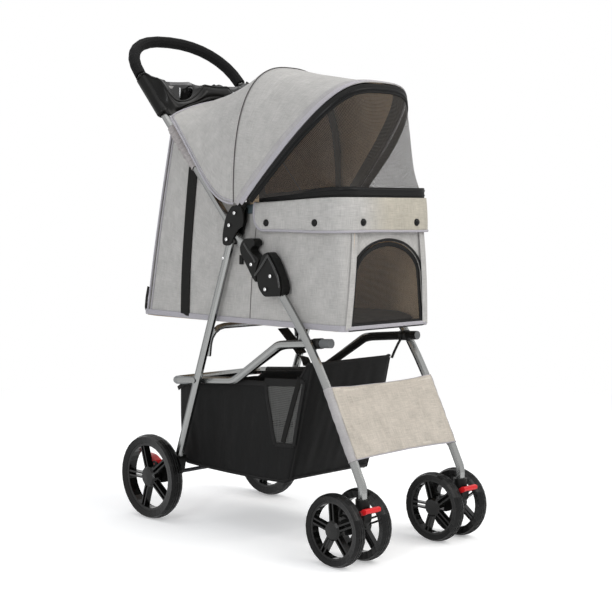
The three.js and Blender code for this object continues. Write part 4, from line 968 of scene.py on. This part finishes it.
bagFrontLow, bagRearLow = bagFront(bag["foot"]), bagRear(bag["foot"])
bagBottomPlan = bagPlan(bagFrontLow, bagRearLow)
bagTopPlan = bagPlan(bagFront(bag["frontTop"]), bagRear(bag["rearTop"]))
bagTopHeights = np.interp(bagTopPlan[:, 1], bagTopY, bagTopZ)
leanY = np.where(bagTopPlan[:, 1] > 300, 1.0,
                 (bagTopHeights - bag["foot"]) / (bag["frontTop"] - bag["foot"]))
nearFront = np.clip((300 - bagTopPlan[:, 1]) / 180, 0, 1)
bagTopPlan[:, 1] += nearFront * (1 - leanY) * 30
bagNormal = planOut(bagBottomPlan, [0, 330])
bagX, bagY = np.abs(bagBottomPlan[:, 0]), bagBottomPlan[:, 1]
rearRound = bag["roundRear"]
rearDepth = np.maximum(bagY - (bagRearLow - rearRound), 0)
frontDepth = np.maximum(bagFrontLow + bag["roundFront"] - bagY, 0)
bagLowZ = bag["low"] + rearRound - np.sqrt(np.maximum(rearRound ** 2 - rearDepth ** 2, 0)) + 0.45 * frontDepth
bagLowZ -= 4.0 * np.sin(np.pi * np.clip((bagY - bagFrontLow) / 320, 0, 1)) ** 0.7
bagShare = np.linspace(0, 1, 48)[None, :]
onSideWall = np.abs(bagNormal[:, 0]) > 0.7
stationLevel = np.where(onSideWall, bagY, 500 + bagBottomPlan[:, 0])[:, None] / 50
# cloth lies flat near the corners
cornerReach = np.where(onSideWall, np.minimum(np.abs(bagY - bagFrontLow), np.abs(bagY - bagRearLow)),
                       bag["half"] - bagX)
cornerCalm = np.clip(cornerReach / bag["calm"], 0, 1)[:, None]
bagSoft = np.sin(np.pi * bagShare ** 0.85)
bagOut = bagSoft * (bag["bulge"] * (0.35 + 0.65 * cornerCalm)
                    + cornerCalm * ripple(stationLevel, bagShare, [(1.1, 2.1, 2.5, 0.3), (0.9, 3.9, -3.0, 1.1),
                                                                   (0.6, 7.3, 4.0, 2.0), (0.4, 12.7, -6.0, 0.7)]))
bagPlace = between(bagBottomPlan[:, None], bagTopPlan[:, None], bagShare[..., None])
bagGrid = withZ(bagPlace + bagNormal[:, None] * bagOut[..., None],
                between(bagLowZ[:, None], bagTopHeights[:, None], bagShare))


def inWindow(centres):
    # inside the sloping four-sided window on either side wall: left of each of its edges
    inside = np.abs(centres[:, 0]) > bag["half"] - 6
    corners = np.array(bag["window"])
    for a, b in zip(corners, np.roll(corners, -1, axis=0)):
        inside &= (b[0] - a[0]) * (centres[:, 2] - a[1]) - (b[1] - a[1]) * (centres[:, 1] - a[0]) > 0
    return inside


bagIn = np.linspace(0, 1, 20)[None, :, None]
bagCentre = np.array([0, 338.0])
bagFloorZ = 109 + (bagLowZ[:, None, None] - 109) * (1 - bagIn) ** 2.2 - 3.0 * np.sin(np.pi / 2 * bagIn)
bagFloor = np.concatenate([fanIn(bagBottomPlan, bagCentre, bagIn), bagFloorZ], -1)
bagAlong = np.where(np.abs(bagGrid[..., 0]) > 100, bagGrid[..., 1], bagGrid[..., 0])
bagUv = np.stack([bagAlong, bagGrid[..., 2]], -1) / 1000 + 1
bagPiece = makePiece("basketBag", [(bagGrid, blackCanvas, bagUv, inWindow, bagNet), (bagFloor, blackCanvas)],
                     wall=bag["wall"], closed=True, body="basket", hides=("basket_bag",))


def onBag(y, z, side, out=1.0):
    # a place on a side wall of the bag, from the station and height nearest to it
    rows = np.flatnonzero(bagNormal[:, 0] * side > 0.9)
    spots = bagGrid[rows]
    pick = np.argmin((spots[..., 1] - y) ** 2 + (spots[..., 2] - z) ** 2)
    x = np.abs(spots.reshape(-1, 3)[pick, 0]) + out
    return (side * x, y, z)


def bagTape(points, side, width, out=1.0, material=blackTape):
    # a flat tape sewn on a side wall along a line of (y, z) places
    path = np.array([onBag(y, z, side, out) for y, z in resample(points, 40)])
    return sweep(path, ellipseProfile(width, 1.6, 12, 4), (side, 0, 0)), material


bagTrims = []
corners = bag["window"]
for side in (-1, 1):
    for a, b in zip(corners, corners[1:] + corners[:1]):
        bagTrims.append(bagTape([a, b], side, 8.0))
    bagTrims.append(bagTape([(148, 316), (190, 190)], side, 12.0, out=1.4, material=blackWebbing))
    bagTrims.append(bagTape([(225, 222), (166, 226)], side, 13.0, out=-1.8, material=blackCanvas))
    bagTrims.append(bagTape([(505, 262), (487, 274), (322, 291), (250, 295), (152, 303)], side, 9.0, out=0.8))
loopOut3 = withZ(bagNormal)
bagTrims.append((sweep(bagGrid[:, -1] + [0, 0, -1.0], ellipseProfile(4.6, 3.4, 12, 3), loopOut3), blackTape))
bagTrims.append((sweep(bagGrid[:, 1], ellipseProfile(3.4, 2.6, 10), loopOut3), blackTape))
for side in (-1, 1):
    row = np.argmin(np.abs(bagBottomPlan[:, 0] - side * (bag["half"] - 3)) + 10 * np.abs(bagY - bagFrontLow - 3))
    bagTrims.append((sweep(bagGrid[row, ::2] + [0, -0.6, 0], ellipseProfile(3.6, 2.8, 10), loopOut3[row]), blackTape))
# painted shade: a black canvas half wrap over the inner side of each basket tube, and a sheet from it down to the bag's
# top, darken the far tube, standing in for its shade and the dark bag it reflects
shadeCover = {"x": 118.0, "radius": 8.6, "arc": 0.42 * np.pi, "hangFrom": 318}
shadeCoverPatches = []
basketTubeLine = rounded([(60, 385.5), (84, 384), (150, 378), (180, 375), (196, 371), (212, 361), (305, 306),
                       (322, 297), (345, 293), (416, 287), (480, 282)], 90, 1)
for side in (-1, 1):
    centre3 = np.concatenate([np.full((90, 1), side * shadeCover["x"]), basketTubeLine], 1)
    turn = np.linspace(-shadeCover["arc"], shadeCover["arc"], 12)
    bore = shadeCover["radius"] * np.stack([-side * np.cos(turn), np.sin(turn)], 1)
    inner = sweep(centre3, bore, (0, 0, 1), caps=False)
    shadeCoverPatches.append((inner, blackCanvas))
    # painted shade: the sheet that hangs from the wrap down to the bag's top
    hangTop = inner[inner[:, 0, 1] > shadeCover["hangFrom"], 0]
    hangY = hangTop[:, 1]
    hangLow = np.stack([np.full(len(hangY), side * 109.4), hangY, np.interp(hangY, bagTopY, bagTopZ) - 4], 1)
    bagTrims.append((between(hangTop[:, None], hangLow[:, None], np.linspace(0, 1, 8)[None, :, None]), blackCanvas))
    tie = rounded([(side * 107, 116, 338), (side * 111, 112, 352), (side * 114, 106, 366),
                   (side * 117, 100, 378)], 24, 1)
    bagTrims.append((sweep(tie, ellipseProfile(7, 1.4, 10, 4), (0, -1, 0)), blackWebbing))
bagTrim = makePiece("basketBagTrim", bagTrims, body="basket")
# the half wraps of painted shade over the basket tubes
makePiece("basketTubeShade", shadeCoverPatches, body="basket")
foldStrap = rounded([(-92, 213, 402), (-92, 196, 388), (-92, 170, 366), (-92, 152, 348), (-93, 146, 336)], 40, 2)
foldStrapPiece = makePiece("foldStrap", [(sweep(foldStrap, ellipseProfile(27, 1.8, 18, 5), (0, 0.7, 0.7)),
                                          blackWebbing)], body="upper_frame")
for sideName, side in mirrorSides:
    clamp = sweep([(side * 118, 101, 382.4), (side * 118, 84, 384)], ellipseProfile(19.6, 19.6, 24, 2.6), (0, 0, 1))
    makePiece(f"basketClamp_{sideName}", [(clamp, mattBlack)], body="basket", weld=0.01)
print("basket bag made")

# ---- tray curtain, tube sleeves and the inside lining

curtainTop = evenHoop("rear", 61, inset=3.0)
curtainLow = np.stack([np.linspace(-112, 112, 61), np.full(61, 500.0), np.full(61, 797.0)], 1)
drapeQ = np.linspace(0, 1, 16)[None, :, None]
curtainGrid = between(curtainTop[:, None], curtainLow[:, None], drapeQ)
curtainGrid = curtainGrid + np.array([0, -5.0, -4.0]) * np.sin(np.pi * drapeQ) + np.array([0, 0.8, 0]) * (
    np.sin(np.linspace(0, 40, 61))[:, None, None] * np.sin(np.pi * drapeQ))
curtainPiece = makePiece("rearCurtain", [(curtainGrid, greyLinen)], wall=1.4, liner=lining, closed=False,
                         body="upper_frame")


def onTube(along):
    # (y, z) on the handle tube's centre line: pivot + along * direction
    return np.array(handle["pivot"]) + along[:, None] * handle["along"]


def tubeSleeve(side, start, end, radius, pleats, deep, material, arc=(0, 2 * np.pi)):
    # a cloth tube gathered on the handle: r = radius + deep |sin|, pleats rings along it
    along = np.linspace(start, end, 140)
    share = np.linspace(0, 1, 140)
    line = np.concatenate([np.full((140, 1), side * handle["halfSpan"]), onTube(along)], 1)
    folds = 0.5 + 0.5 * np.sin(pleats * 2 * np.pi * share + 0.6 * np.sin(9 * share))
    rings = radius + deep * folds * np.sin(np.pi * share) ** 0.3
    angle = np.linspace(*arc, 25)
    tube = sweep(line, np.stack([np.cos(angle), np.sin(angle)], 1), (1, 0, 0), caps=False)
    skew = 1 + 0.05 * np.sin(np.linspace(0, 4 * np.pi, 25))[None, :, None] * np.sin(31 * share)[:, None, None]
    return (line[:, None] + (tube - line[:, None]) * rings[:, None, None] * skew, material)


makePiece("handleSleeves", [tubeSleeve(side, 310, 420, 9.2, 10, 2.6, sleeveCloth) for side in (-1, 1)],
          body="upper_frame")
innerHalf = {-1: (0.15, np.pi - 0.15), 1: (0.15 - np.pi, -0.15)}
# a dark half sleeve over the inner side of each handle tube, from 214 to 300 along it
makePiece("handleDarkHalf", [tubeSleeve(side, 214, 300, 8.4, 5, 0.6, darkTape, innerHalf[side]) for side in (-1, 1)],
          body="upper_frame", closed=False)
gussetPatches = []
for side, row in ((-1, 3), (1, -4)):
    high = rearGrid[row] - rearOut[row] * 3
    lowZ = np.interp(high[:, 1], [270, 372, 509], [640, 648, 800])
    low = np.stack([np.full(len(high), side * 116.0), high[:, 1], lowZ], 1)
    spreadQ = np.linspace(0, 1, 8)[None, :, None]
    gussetPatches.append((between(high[:, None], low[:, None], spreadQ), lining))
    near, far = (np.array([(side * x, y, z) for x, y, z in ends], float)[:, None]
                 for ends in (((119.5, 274, 634), (119.5, 249, 636)), ((123, 268, 651), (124, 245, 667))))
    patch = between(near, far, spreadQ)
    gussetPatches.append((between(patch[:1], patch[1:], np.linspace(0, 1, 8)[:, None, None]), lining))
gussetPiece = makePiece("canopyGussets", gussetPatches, wall=1.0, wallOffset=0, closed=False)
tuple(inRow((0, 480, 830)))
tuple(inRow((0, 300, 860)))
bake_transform(gussetPiece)
print("curtain and sleeves made")

# ---- cup tray

tray = {"sleeve": 13.4, "start": 456.0, "end": 564.0, "rear": 590.0, "top": 889.0, "floor": 832.0, "halfWidth": 128.0,
        "cupX": 73.0, "cupY": 546.0, "cupRadius": 31.0, "dip": 41.0, "dipX": 97.0, "dipOuter": 38.0, "dipInner": 64.0,
        "dishHalf": 21.0, "dishY": 550.0, "dishRim": 882.0, "dishFloor": 862.0, "tubY": 548.0}
# the front apron: plan stations from a handle tube round the corner to the middle, with the top
# edge and the low edge at each; the other half mirrors them
apronTop = [(147, 584.7, 885), (148.8, 579.6, 890), (146, 574, 897), (139.5, 570, 901), (137, 562, 898),
            (137, 549, 892), (135, 533, 888), (130, 520, 886), (120, 512.5, 885), (105, 511, 885), (88, 511, 885),
            (60, 511, 883.5), (30, 511, 880), (0, 511, 878)]
apronLow = [(147, 517.2, 811.3), (148.8, 512.1, 816), (146, 506, 821), (140, 502.5, 823), (136.5, 500, 818),
            (132, 499, 815), (126, 499, 813), (119, 499, 814), (112, 500, 817), (103, 502, 822), (88, 504, 832),
            (57, 505, 843), (28, 505, 852), (0, 505, 856)]


def splineThrough(points, count):
    # Catmull-Rom: 0.5 (2b + (c-a)t + (2a-5b+4c-d)t^2 + (3b-a-3c+d)t^3) between places b and c
    p = np.asarray(points, float)
    p = np.concatenate([2 * p[:1] - p[1:2], p, 2 * p[-1:] - p[-2:-1]])
    place = np.linspace(0, len(p) - 3 - 1e-6, count)
    k = place.astype(int)
    t = (place - k)[:, None]
    a, b, c, d = p[k], p[k + 1], p[k + 2], p[k + 3]
    return 0.5 * (2 * b + (c - a) * t + (2 * a - 5 * b + 4 * c - d) * t ** 2 + (3 * b - a - 3 * c + d) * t ** 3)


def bothSides(points):
    # a line given for one half and its mirror image
    half = np.array(points, float)
    return np.concatenate([half * [-1, 1, 1], half[-2::-1]])


def trayDip(x):
    # the scoop before each cup: dip (1 - |t|^2.3), t from its lowest place out to either end
    away = np.abs(x) - tray["dipX"]
    t = np.clip(np.where(away > 0, away / tray["dipOuter"], away / tray["dipInner"]), -1, 1)
    return tray["dip"] * (1 - np.abs(t) ** 2.3)


def deckZ(x, y):
    # the deck's height, sinking towards the scoops over its front strip
    return tray["top"] - 4 * (1 - ramp(y, 512, 540)) - 6 * ramp(y, 578, 590) - trayDip(x) * (1 - ramp(y, 513, 552))


apronCount = 161
topEdge = splineThrough(bothSides(apronTop), apronCount)
lowEdge = splineThrough(bothSides(apronLow), apronCount)
topEdge[:, 2] -= trayDip(topEdge[:, 0]) * (1 - ramp(topEdge[:, 1], 513, 552))
apronQ = np.linspace(0, 1, 22)[None, :, None]
apron = between(topEdge[:, None], lowEdge[:, None], apronQ)
facing = ramp(135 - np.abs(apron[..., 0]), 0, 30)
apron[..., 1] -= facing * (7.0 * np.sin(np.pi * apronQ[..., 0]) + 4.0 * np.exp(-((1 - apronQ[..., 0]) / 0.07) ** 2))
trayPatches = [(apron, glossBlack),
               (sweep(topEdge[4:-4], ellipseProfile(4.4, 4.4, 12), (0, 0, 1)), glossBlack),
               (sweep(apron[6:-6, -1], ellipseProfile(3.6, 3.6, 12), (0, 0, 1)), glossBlack)]
for side in (-1, 1):
    along = np.linspace(tray["start"], tray["end"], 40)
    centreLine = np.concatenate([np.full((40, 1), side * handle["halfSpan"]), onTube(along)], 1)
    ends = np.minimum(along - tray["start"], tray["end"] - along)
    sleeveRadius = tray["sleeve"] - 4.6 * np.clip(1 - ends / 9, 0, 1) ** 2
    round_ = sweep(centreLine, ellipseProfile(2, 2, 32), (1, 0, 0), caps=False)
    trayPatches.append((centreLine[:, None] + (round_ - centreLine[:, None]) * sleeveRadius[:, None, None], glossBlack))


def ringPatch(border, centre, inner, innerZ):
    # from a well's mouth out to the border, station by station
    reach = border[:, :2] - centre
    mouth = centre + reach / np.linalg.norm(reach, axis=1, keepdims=True) * inner[:, None]
    mouth = withZ(mouth, innerZ(mouth))
    return mouth, between(mouth[:, None], border[:, None], np.linspace(0, 1, 9)[None, :, None])


def well(mouth, centre, floorZ, slim=0.93):
    # walls down from the mouth, a rounded foot, and a floor closed at its middle
    share = np.array([0, 0.25, 0.5, 0.75, 0.93, 1.0, 1.0, 1.0])[None, :, None]
    keep = np.array([1, 0.985, 0.97, 0.95, slim, 0.85, 0.4, 0.0])[None, :, None]
    plan = centre + (mouth[:, None, :2] - centre) * keep
    return np.concatenate([plan, between(mouth[:, None, 2:], floorZ, share)], -1)


front = topEdge[:, 0]
rearZ = tray["top"] - 6
for side in (-1, 1):
    pick = (side * front > 27) & (side * front < 148)
    edge = topEdge[pick] if side > 0 else topEdge[pick][::-1]
    loop = np.concatenate([edge, [(side * 128, tray["rear"] - 6, tray["top"] - 5), (side * 118, tray["rear"], rearZ),
                                  (side * 27, tray["rear"], rearZ)], edge[:1]])
    border = resample(loop, 121)
    centre = np.array([side * tray["cupX"], tray["cupY"]])
    mouth, ring = ringPatch(border, centre, np.full(121, tray["cupRadius"]), lambda p: deckZ(p[:, 0], p[:, 1]))
    trayPatches += [(ring, glossBlack), (well(mouth, centre, tray["floor"]), cupGloss)]
middle = np.abs(front) < 27
loop = np.concatenate([[(-27, 511, 880)], topEdge[middle],
                       [(27, 511, 880), (27, tray["rear"], rearZ), (-27, tray["rear"], rearZ), (-27, 511, 880)]])
border = resample(loop, 97)
centre = np.array([0, tray["dishY"]])
heading = np.arctan2(border[:, 1] - centre[1], border[:, 0] - centre[0])
square = tray["dishHalf"] / (np.abs(np.cos(heading)) ** 5 + np.abs(np.sin(heading) / 1.3) ** 5) ** 0.2
mouth, ring = ringPatch(border, centre, square, lambda p: np.full(len(p), tray["dishRim"]))
trayPatches += [(ring, glossBlack), (well(mouth, centre, tray["dishFloor"], 0.97), glossBlack)]
tubAngle = np.linspace(0, 2 * np.pi, 121)
tubPlan = np.stack([tray["halfWidth"] * np.sign(np.cos(tubAngle)) * np.abs(np.cos(tubAngle)) ** 0.16,
                    552 + 38 * np.sign(np.sin(tubAngle)) * np.abs(np.sin(tubAngle)) ** 0.35], 1)
tubShare = np.linspace(0, 1, 12)[None, :, None]
tubIn = 1 - np.array([0.18, 0.34]) * tubShare ** np.array([1.4, 1.0])
tubPlace = np.array([0, tray["tubY"]]) + (tubPlan[:, None] - [0, tray["tubY"]]) * tubIn
tubZ = between((deckZ(tubPlan[:, 0], tubPlan[:, 1]) - 1.0)[:, None, None], tray["floor"] - 6, tubShare)
tub = np.concatenate([tubPlace, tubZ], -1)
tubFloor = between(tub[:, -1:], np.array([0, tray["tubY"], tray["floor"] - 8]), np.linspace(0, 1, 6)[None, :, None])
trayPatches += [(tub, glossBlack), (tubFloor, glossBlack)]
makePiece("parentTray", trayPatches, body="upper_frame", wall=2.4, wallOffset=-1, closed=True,
                      hides=("parent_tray",))
print("cup tray made")

# ---- cabin pad

pad = {"x": 104.0, "front": 42.0, "rear": 588.0, "low": 415.0, "high": 429.5,
       "voxel": 0.006, "pressure": 4.0, "cap": 0.006, "lowest": 413.4, "highest": 437.0}


def padForm():
    # a thin slab whose half height is ((1 - |u|^10)(1 - |v|^14))^0.35 of the full one, closed round its rim
    u, v = np.meshgrid(np.linspace(-1, 1, 40), np.linspace(-1, 1, 90), indexing="ij")
    edge = (1 - np.abs(u) ** 10) * (1 - np.abs(v) ** 14)
    x = pad["x"] * u * (1 - 0.012 * np.cos(np.pi * v / 2))
    y = (pad["front"] + pad["rear"]) / 2 + (pad["rear"] - pad["front"]) / 2 * v * (1 - 0.01 * np.cos(np.pi * u / 2))
    middle, half = (pad["low"] + pad["high"]) / 2, (pad["high"] - pad["low"]) / 2
    top = np.stack([x, y, middle + half * edge ** 0.35], -1)
    under = np.stack([x, y, middle - half * edge ** 0.35], -1)
    return [(top, blackCanvas), (under[::-1], blackCanvas)]


padPiece = makePiece("cabinPad", padForm(), hides=("cabin_pad",))
remesh = padPiece.modifiers.new("voxels", "REMESH")
remesh.mode = "VOXEL"
remesh.voxel_size = pad["voxel"]
depsgraph = bpy.context.evaluated_depsgraph_get()
padMesh = bpy.data.meshes.new_from_object(padPiece.evaluated_get(depsgraph))
padPiece.modifiers.clear()
padPiece.data = padMesh
rest = np.empty(len(padMesh.vertices) * 3)
padMesh.vertices.foreach_get("co", rest)
swell = padPiece.modifiers.new("swell", "CLOTH")
swell.settings.use_pressure = True
swell.settings.uniform_pressure_force = pad["pressure"]
swell.settings.effector_weights.gravity = 0
for frameIndex in range(1, 21):
    scene.frame_set(frameIndex)
depsgraph = bpy.context.evaluated_depsgraph_get()
swollen = np.empty(len(padMesh.vertices) * 3)
evaluated = padPiece.evaluated_get(depsgraph)
evaluated.data.vertices.foreach_get("co", swollen)
padPiece.modifiers.clear()
scene.frame_set(1)
move = (swollen - rest).reshape(-1, 3)
reach = np.linalg.norm(move, axis=1, keepdims=True)
move *= np.minimum(1, pad["cap"] / np.maximum(reach, 1e-9))
settled = rest.reshape(-1, 3) + move
settled[:, 2] = np.clip(settled[:, 2], pad["lowest"] / 1000, pad["highest"] / 1000)
padMesh.vertices.foreach_set("co", settled.ravel())
padMesh.polygons.foreach_set("use_smooth", np.ones(len(padMesh.polygons), bool))
padMesh.update()
print("cabin pad made")

# ---- small fittings

smallRivets = {"legRivet": (1.6, 2.2, 1.3, (143.2, 326, 533), "rear_legs"),
               "armRivet": (1.8, 2.4, 1.4, (143.4, 260, 642), "canopy_front_hoop")}
for sideName, side in mirrorSides:
    pull = resample([(side * 121, 297, 539), (side * 121.5, 297, 521)], 12)
    loop = rounded([(side * 119, 300, 571), (side * 120, 298, 556), (side * 121, 297, 540)], 20, 1)
    makePiece(f"zipPull_{sideName}", [(sweep(pull, ellipseProfile(6, 9, 16, 3), (0, 1, 0)), mattBlack),
                                      (sweep(loop, ellipseProfile(1.6, 1.6, 8), (0, 1, 0)), seamPale)],
              body="upper_frame")
    for start, (crown, shoulder, drop, (x, y, z), carrier) in smallRivets.items():
        head = lathe([(0, crown), (shoulder, drop), (3.4, 0), (3.4, -1), (0, -1)], (side * x, y, z), (side, 0, 0), 16)
        makePiece(f"{start}_{sideName}", [(head, brightSteel)], body=carrier)

# name, hub x, shift from it, y, radius and width
wheelFacts = [("rear_wheel", 162, 0, 527, 85, 28), ("front_wheel_outer", 135, 34, 0, 65, 24),
              ("front_wheel_inner", 135, -34, 0, 65, 24)]
for sideName, side in mirrorSides:
    for start, x, offset, y, radius, width in wheelFacts:
        hubX = side * (x + offset)
        ribs = []
        for shift in (-0.36, -0.2, 0.0, 0.2, 0.36):
            # the tread falls away to its shoulders: radius - 0.2 - 36 |shift|^2.6
            place = np.linspace(0, 2 * np.pi, 73)
            crown = radius - 0.2 - 36.0 * abs(shift) ** 2.6
            outwards = np.stack([0 * place, np.cos(place), np.sin(place)], 1)
            ring = crown * outwards + [hubX + shift * width, y, radius]
            ribs.append((sweep(ring, ellipseProfile(1.8, 1.6, 6), outwards, caps=False), tyreRubber))
        makePiece(f"{start}_ribs_{sideName}", ribs, body=f"{start}_{sideName}")
print("fittings made")

# ---- rides for everything sewn to the cabin

for piece in (shellPiece, trimPiece, strapPiece, rimPiece, rimTubePiece, flapPiece, flapPiping, snapPiece, archBind,
              padPiece):
    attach(piece, "upper_frame")
for piece in (screenPiece, zipPiece):
    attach(piece, "canopy_front_hoop")
    tuple(inRow(screenHigh[48]))
    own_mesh(piece)
for piece in (bagPiece, bagTrim):
    tuple(inRow((0, 420, 289)))
    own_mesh(piece)
tuple(inRow((0, 200, 402)))
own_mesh(foldStrapPiece)

# ---- rivets over the imported heads, and raised ridges

domeProfile = [(0, 2.0), (1.6, 1.8), (2.9, 1.2), (3.7, 0.3), (3.8, -1.0), (0, -1.0)]


def rivets(name, body, spots):
    # a domed rivet at each (x, y, z) on both sides
    return makePiece(name, [(lathe(domeProfile, (side * x, y, z), (side, 0, 0), 18), brightSteel)
                            for x, y, z in spots for side in (-1, 1)], body=body)


rivets("bracketRivets", "upper_frame", [(148.6, 287, 619), (148.6, 302.5, 595.8), (148.6, 310, 569)])
rivets("socketRivets", "front_legs", [(147.9, 203, 478), (147.9, 189, 503)])
for sideName, side in mirrorSides:
    head = lathe(domeProfile, (side * 145.2, 244, 523), (side, 0, 0), 18)
    makePiece(f"sleeveRivet_{sideName}", [(head, brightSteel)], body=f"latch_{sideName}")
ridgeLines = {
    "socketRidge": ("front_legs", 145.9, [[(196, 541), (215, 519), (232, 503)],
                                          [(197, 541), (185, 526), (169, 501), (165, 482)]]),
    "sleeveRidge": ("latch", 144.6, [[(263, 562), (252, 549), (240, 538), (232, 527)]])}
for start, (carrier, x, lines) in ridgeLines.items():
    for sideName, side in mirrorSides:
        ridges = [(sweep(rounded([(side * x, *spot) for spot in line], 30, 2), ellipseProfile(5.0, 3.8, 12, 2.4),
                         (side, 0, 0)), ridgeBlack) for line in lines]
        makePiece(f"{start}_{sideName}", ridges, body=carrier if carrier == "front_legs" else f"latch_{sideName}")
print("rivets and ridges made")

# ---- floor, lights and camera

floorSize = 6.0
floorMesh = bpy.data.meshes.new("studioFloor")
floorMesh.from_pydata([(x * floorSize, y * floorSize, 0) for x, y in ((-1, -1), (1, -1), (1, 1), (-1, 1))],
                      [], [(0, 1, 2, 3)])
floorObject = bpy.data.objects.new("studioFloor", floorMesh)
scene.collection.objects.link(floorObject)
floorPaint, floorTree, floorShader = newFinish("floorPaint")
floorShader.inputs["Base Color"].default_value = (0.86, 0.86, 0.86, 1)
floorShader.inputs["Roughness"].default_value = 0.9
floorMesh.materials.append(floorPaint)
rays = node(floorTree, "ShaderNodeLightPath")
glow = node(floorTree, "ShaderNodeEmission", {"Color": (1, 1, 1, 1), "Strength": 0.32})
near = node(floorTree, "ShaderNodeAddShader", {0: floorShader.outputs[0], 1: glow.outputs[0]})
away = node(floorTree, "ShaderNodeVectorMath", {0: coordinate(floorTree, "Object")}, operation="LENGTH")
farShare = node(floorTree, "ShaderNodeMapRange", {"Value": away.outputs["Value"], "From Min": 1.0, "From Max": 2.2},
                interpolation_type="SMOOTHSTEP")
paper = node(floorTree, "ShaderNodeEmission", {"Color": (1, 1, 1, 1), "Strength": 1.0})
joined = node(floorTree, "ShaderNodeMixShader", {0: farShare.outputs[0], 1: near.outputs[0], 2: paper.outputs[0]})
shown = maths(floorTree, "MAXIMUM", rays.outputs["Is Camera Ray"], rays.outputs["Is Glossy Ray"])
seen = node(floorTree, "ShaderNodeMixShader", {0: shown, 1: floorShader.outputs[0], 2: joined.outputs[0]})
floorTree.links.new(seen.outputs[0], floorTree.nodes["Material Output"].inputs["Surface"])

world = bpy.data.worlds.new("studio")
scene.world = world
world.use_nodes = True
sky = world.node_tree
fill = sky.nodes["Background"]
fill.inputs["Color"].default_value = (0.95, 0.97, 1.0, 1)
fill.inputs["Strength"].default_value = 0.55
white = node(sky, "ShaderNodeBackground", {"Color": (1, 1, 1, 1), "Strength": 1.0})
worldRays = node(sky, "ShaderNodeLightPath")
either = maths(sky, "MAXIMUM", worldRays.outputs["Is Camera Ray"], worldRays.outputs["Is Transmission Ray"])
both = maths(sky, "MAXIMUM", either, worldRays.outputs["Is Glossy Ray"])
backdrop = node(sky, "ShaderNodeMixShader", {0: both, 1: fill.outputs[0], 2: white.outputs[0]})
sky.links.new(backdrop.outputs[0], sky.nodes["World Output"].inputs["Surface"])

studioLights = {
    "keyFront": dict(place=(0.9, -2.4, 2.6), size=2.2, watts=62, colour=(1.0, 0.98, 0.95)),
    "stripLeft": dict(place=(-2.7, -1.35, 1.2), size=0.36, height=2.3, watts=34, colour=(0.97, 0.985, 1.0)),
    "topSoft": dict(place=(0.2, 0.6, 3.4), size=2.6, watts=30, colour=(1.0, 1.0, 1.0)),
}
for lightName, facts in studioLights.items():
    lamp = bpy.data.lights.new(lightName, "AREA")
    lamp.energy, lamp.size, lamp.color = facts["watts"], facts["size"], facts["colour"]
    if "height" in facts:
        lamp.shape, lamp.size_y = "RECTANGLE", facts["height"]
    lampObject = bpy.data.objects.new(lightName, lamp)
    scene.collection.objects.link(lampObject)
    lampObject.location = facts["place"]
    aim = Vector((0, 0, 0.5)) - Vector(facts["place"])
    lampObject.rotation_euler = aim.to_track_quat("-Z", "Y").to_euler()

lens = {"azimuth": -44.51, "elevation": 4.05, "distance": 2603.9, "focal": 78.57, "target": (0, 244.56, 438.01)}
turn, climb = math.radians(lens["azimuth"]), math.radians(lens["elevation"])
back = Vector((math.sin(turn) * math.cos(climb), -math.cos(turn) * math.cos(climb), math.sin(climb)))
viewer = bpy.data.cameras.new("viewer")
viewer.lens, viewer.sensor_width, viewer.clip_end = lens["focal"], 36, 50
viewerObject = bpy.data.objects.new("viewer", viewer)
scene.collection.objects.link(viewerObject)
viewerObject.location = Vector(inRow(lens["target"])) + back * (lens["distance"] / 1000)
viewerObject.rotation_euler = (-back).to_track_quat("-Z", "Y").to_euler()
scene.camera = viewerObject
print("studio made")
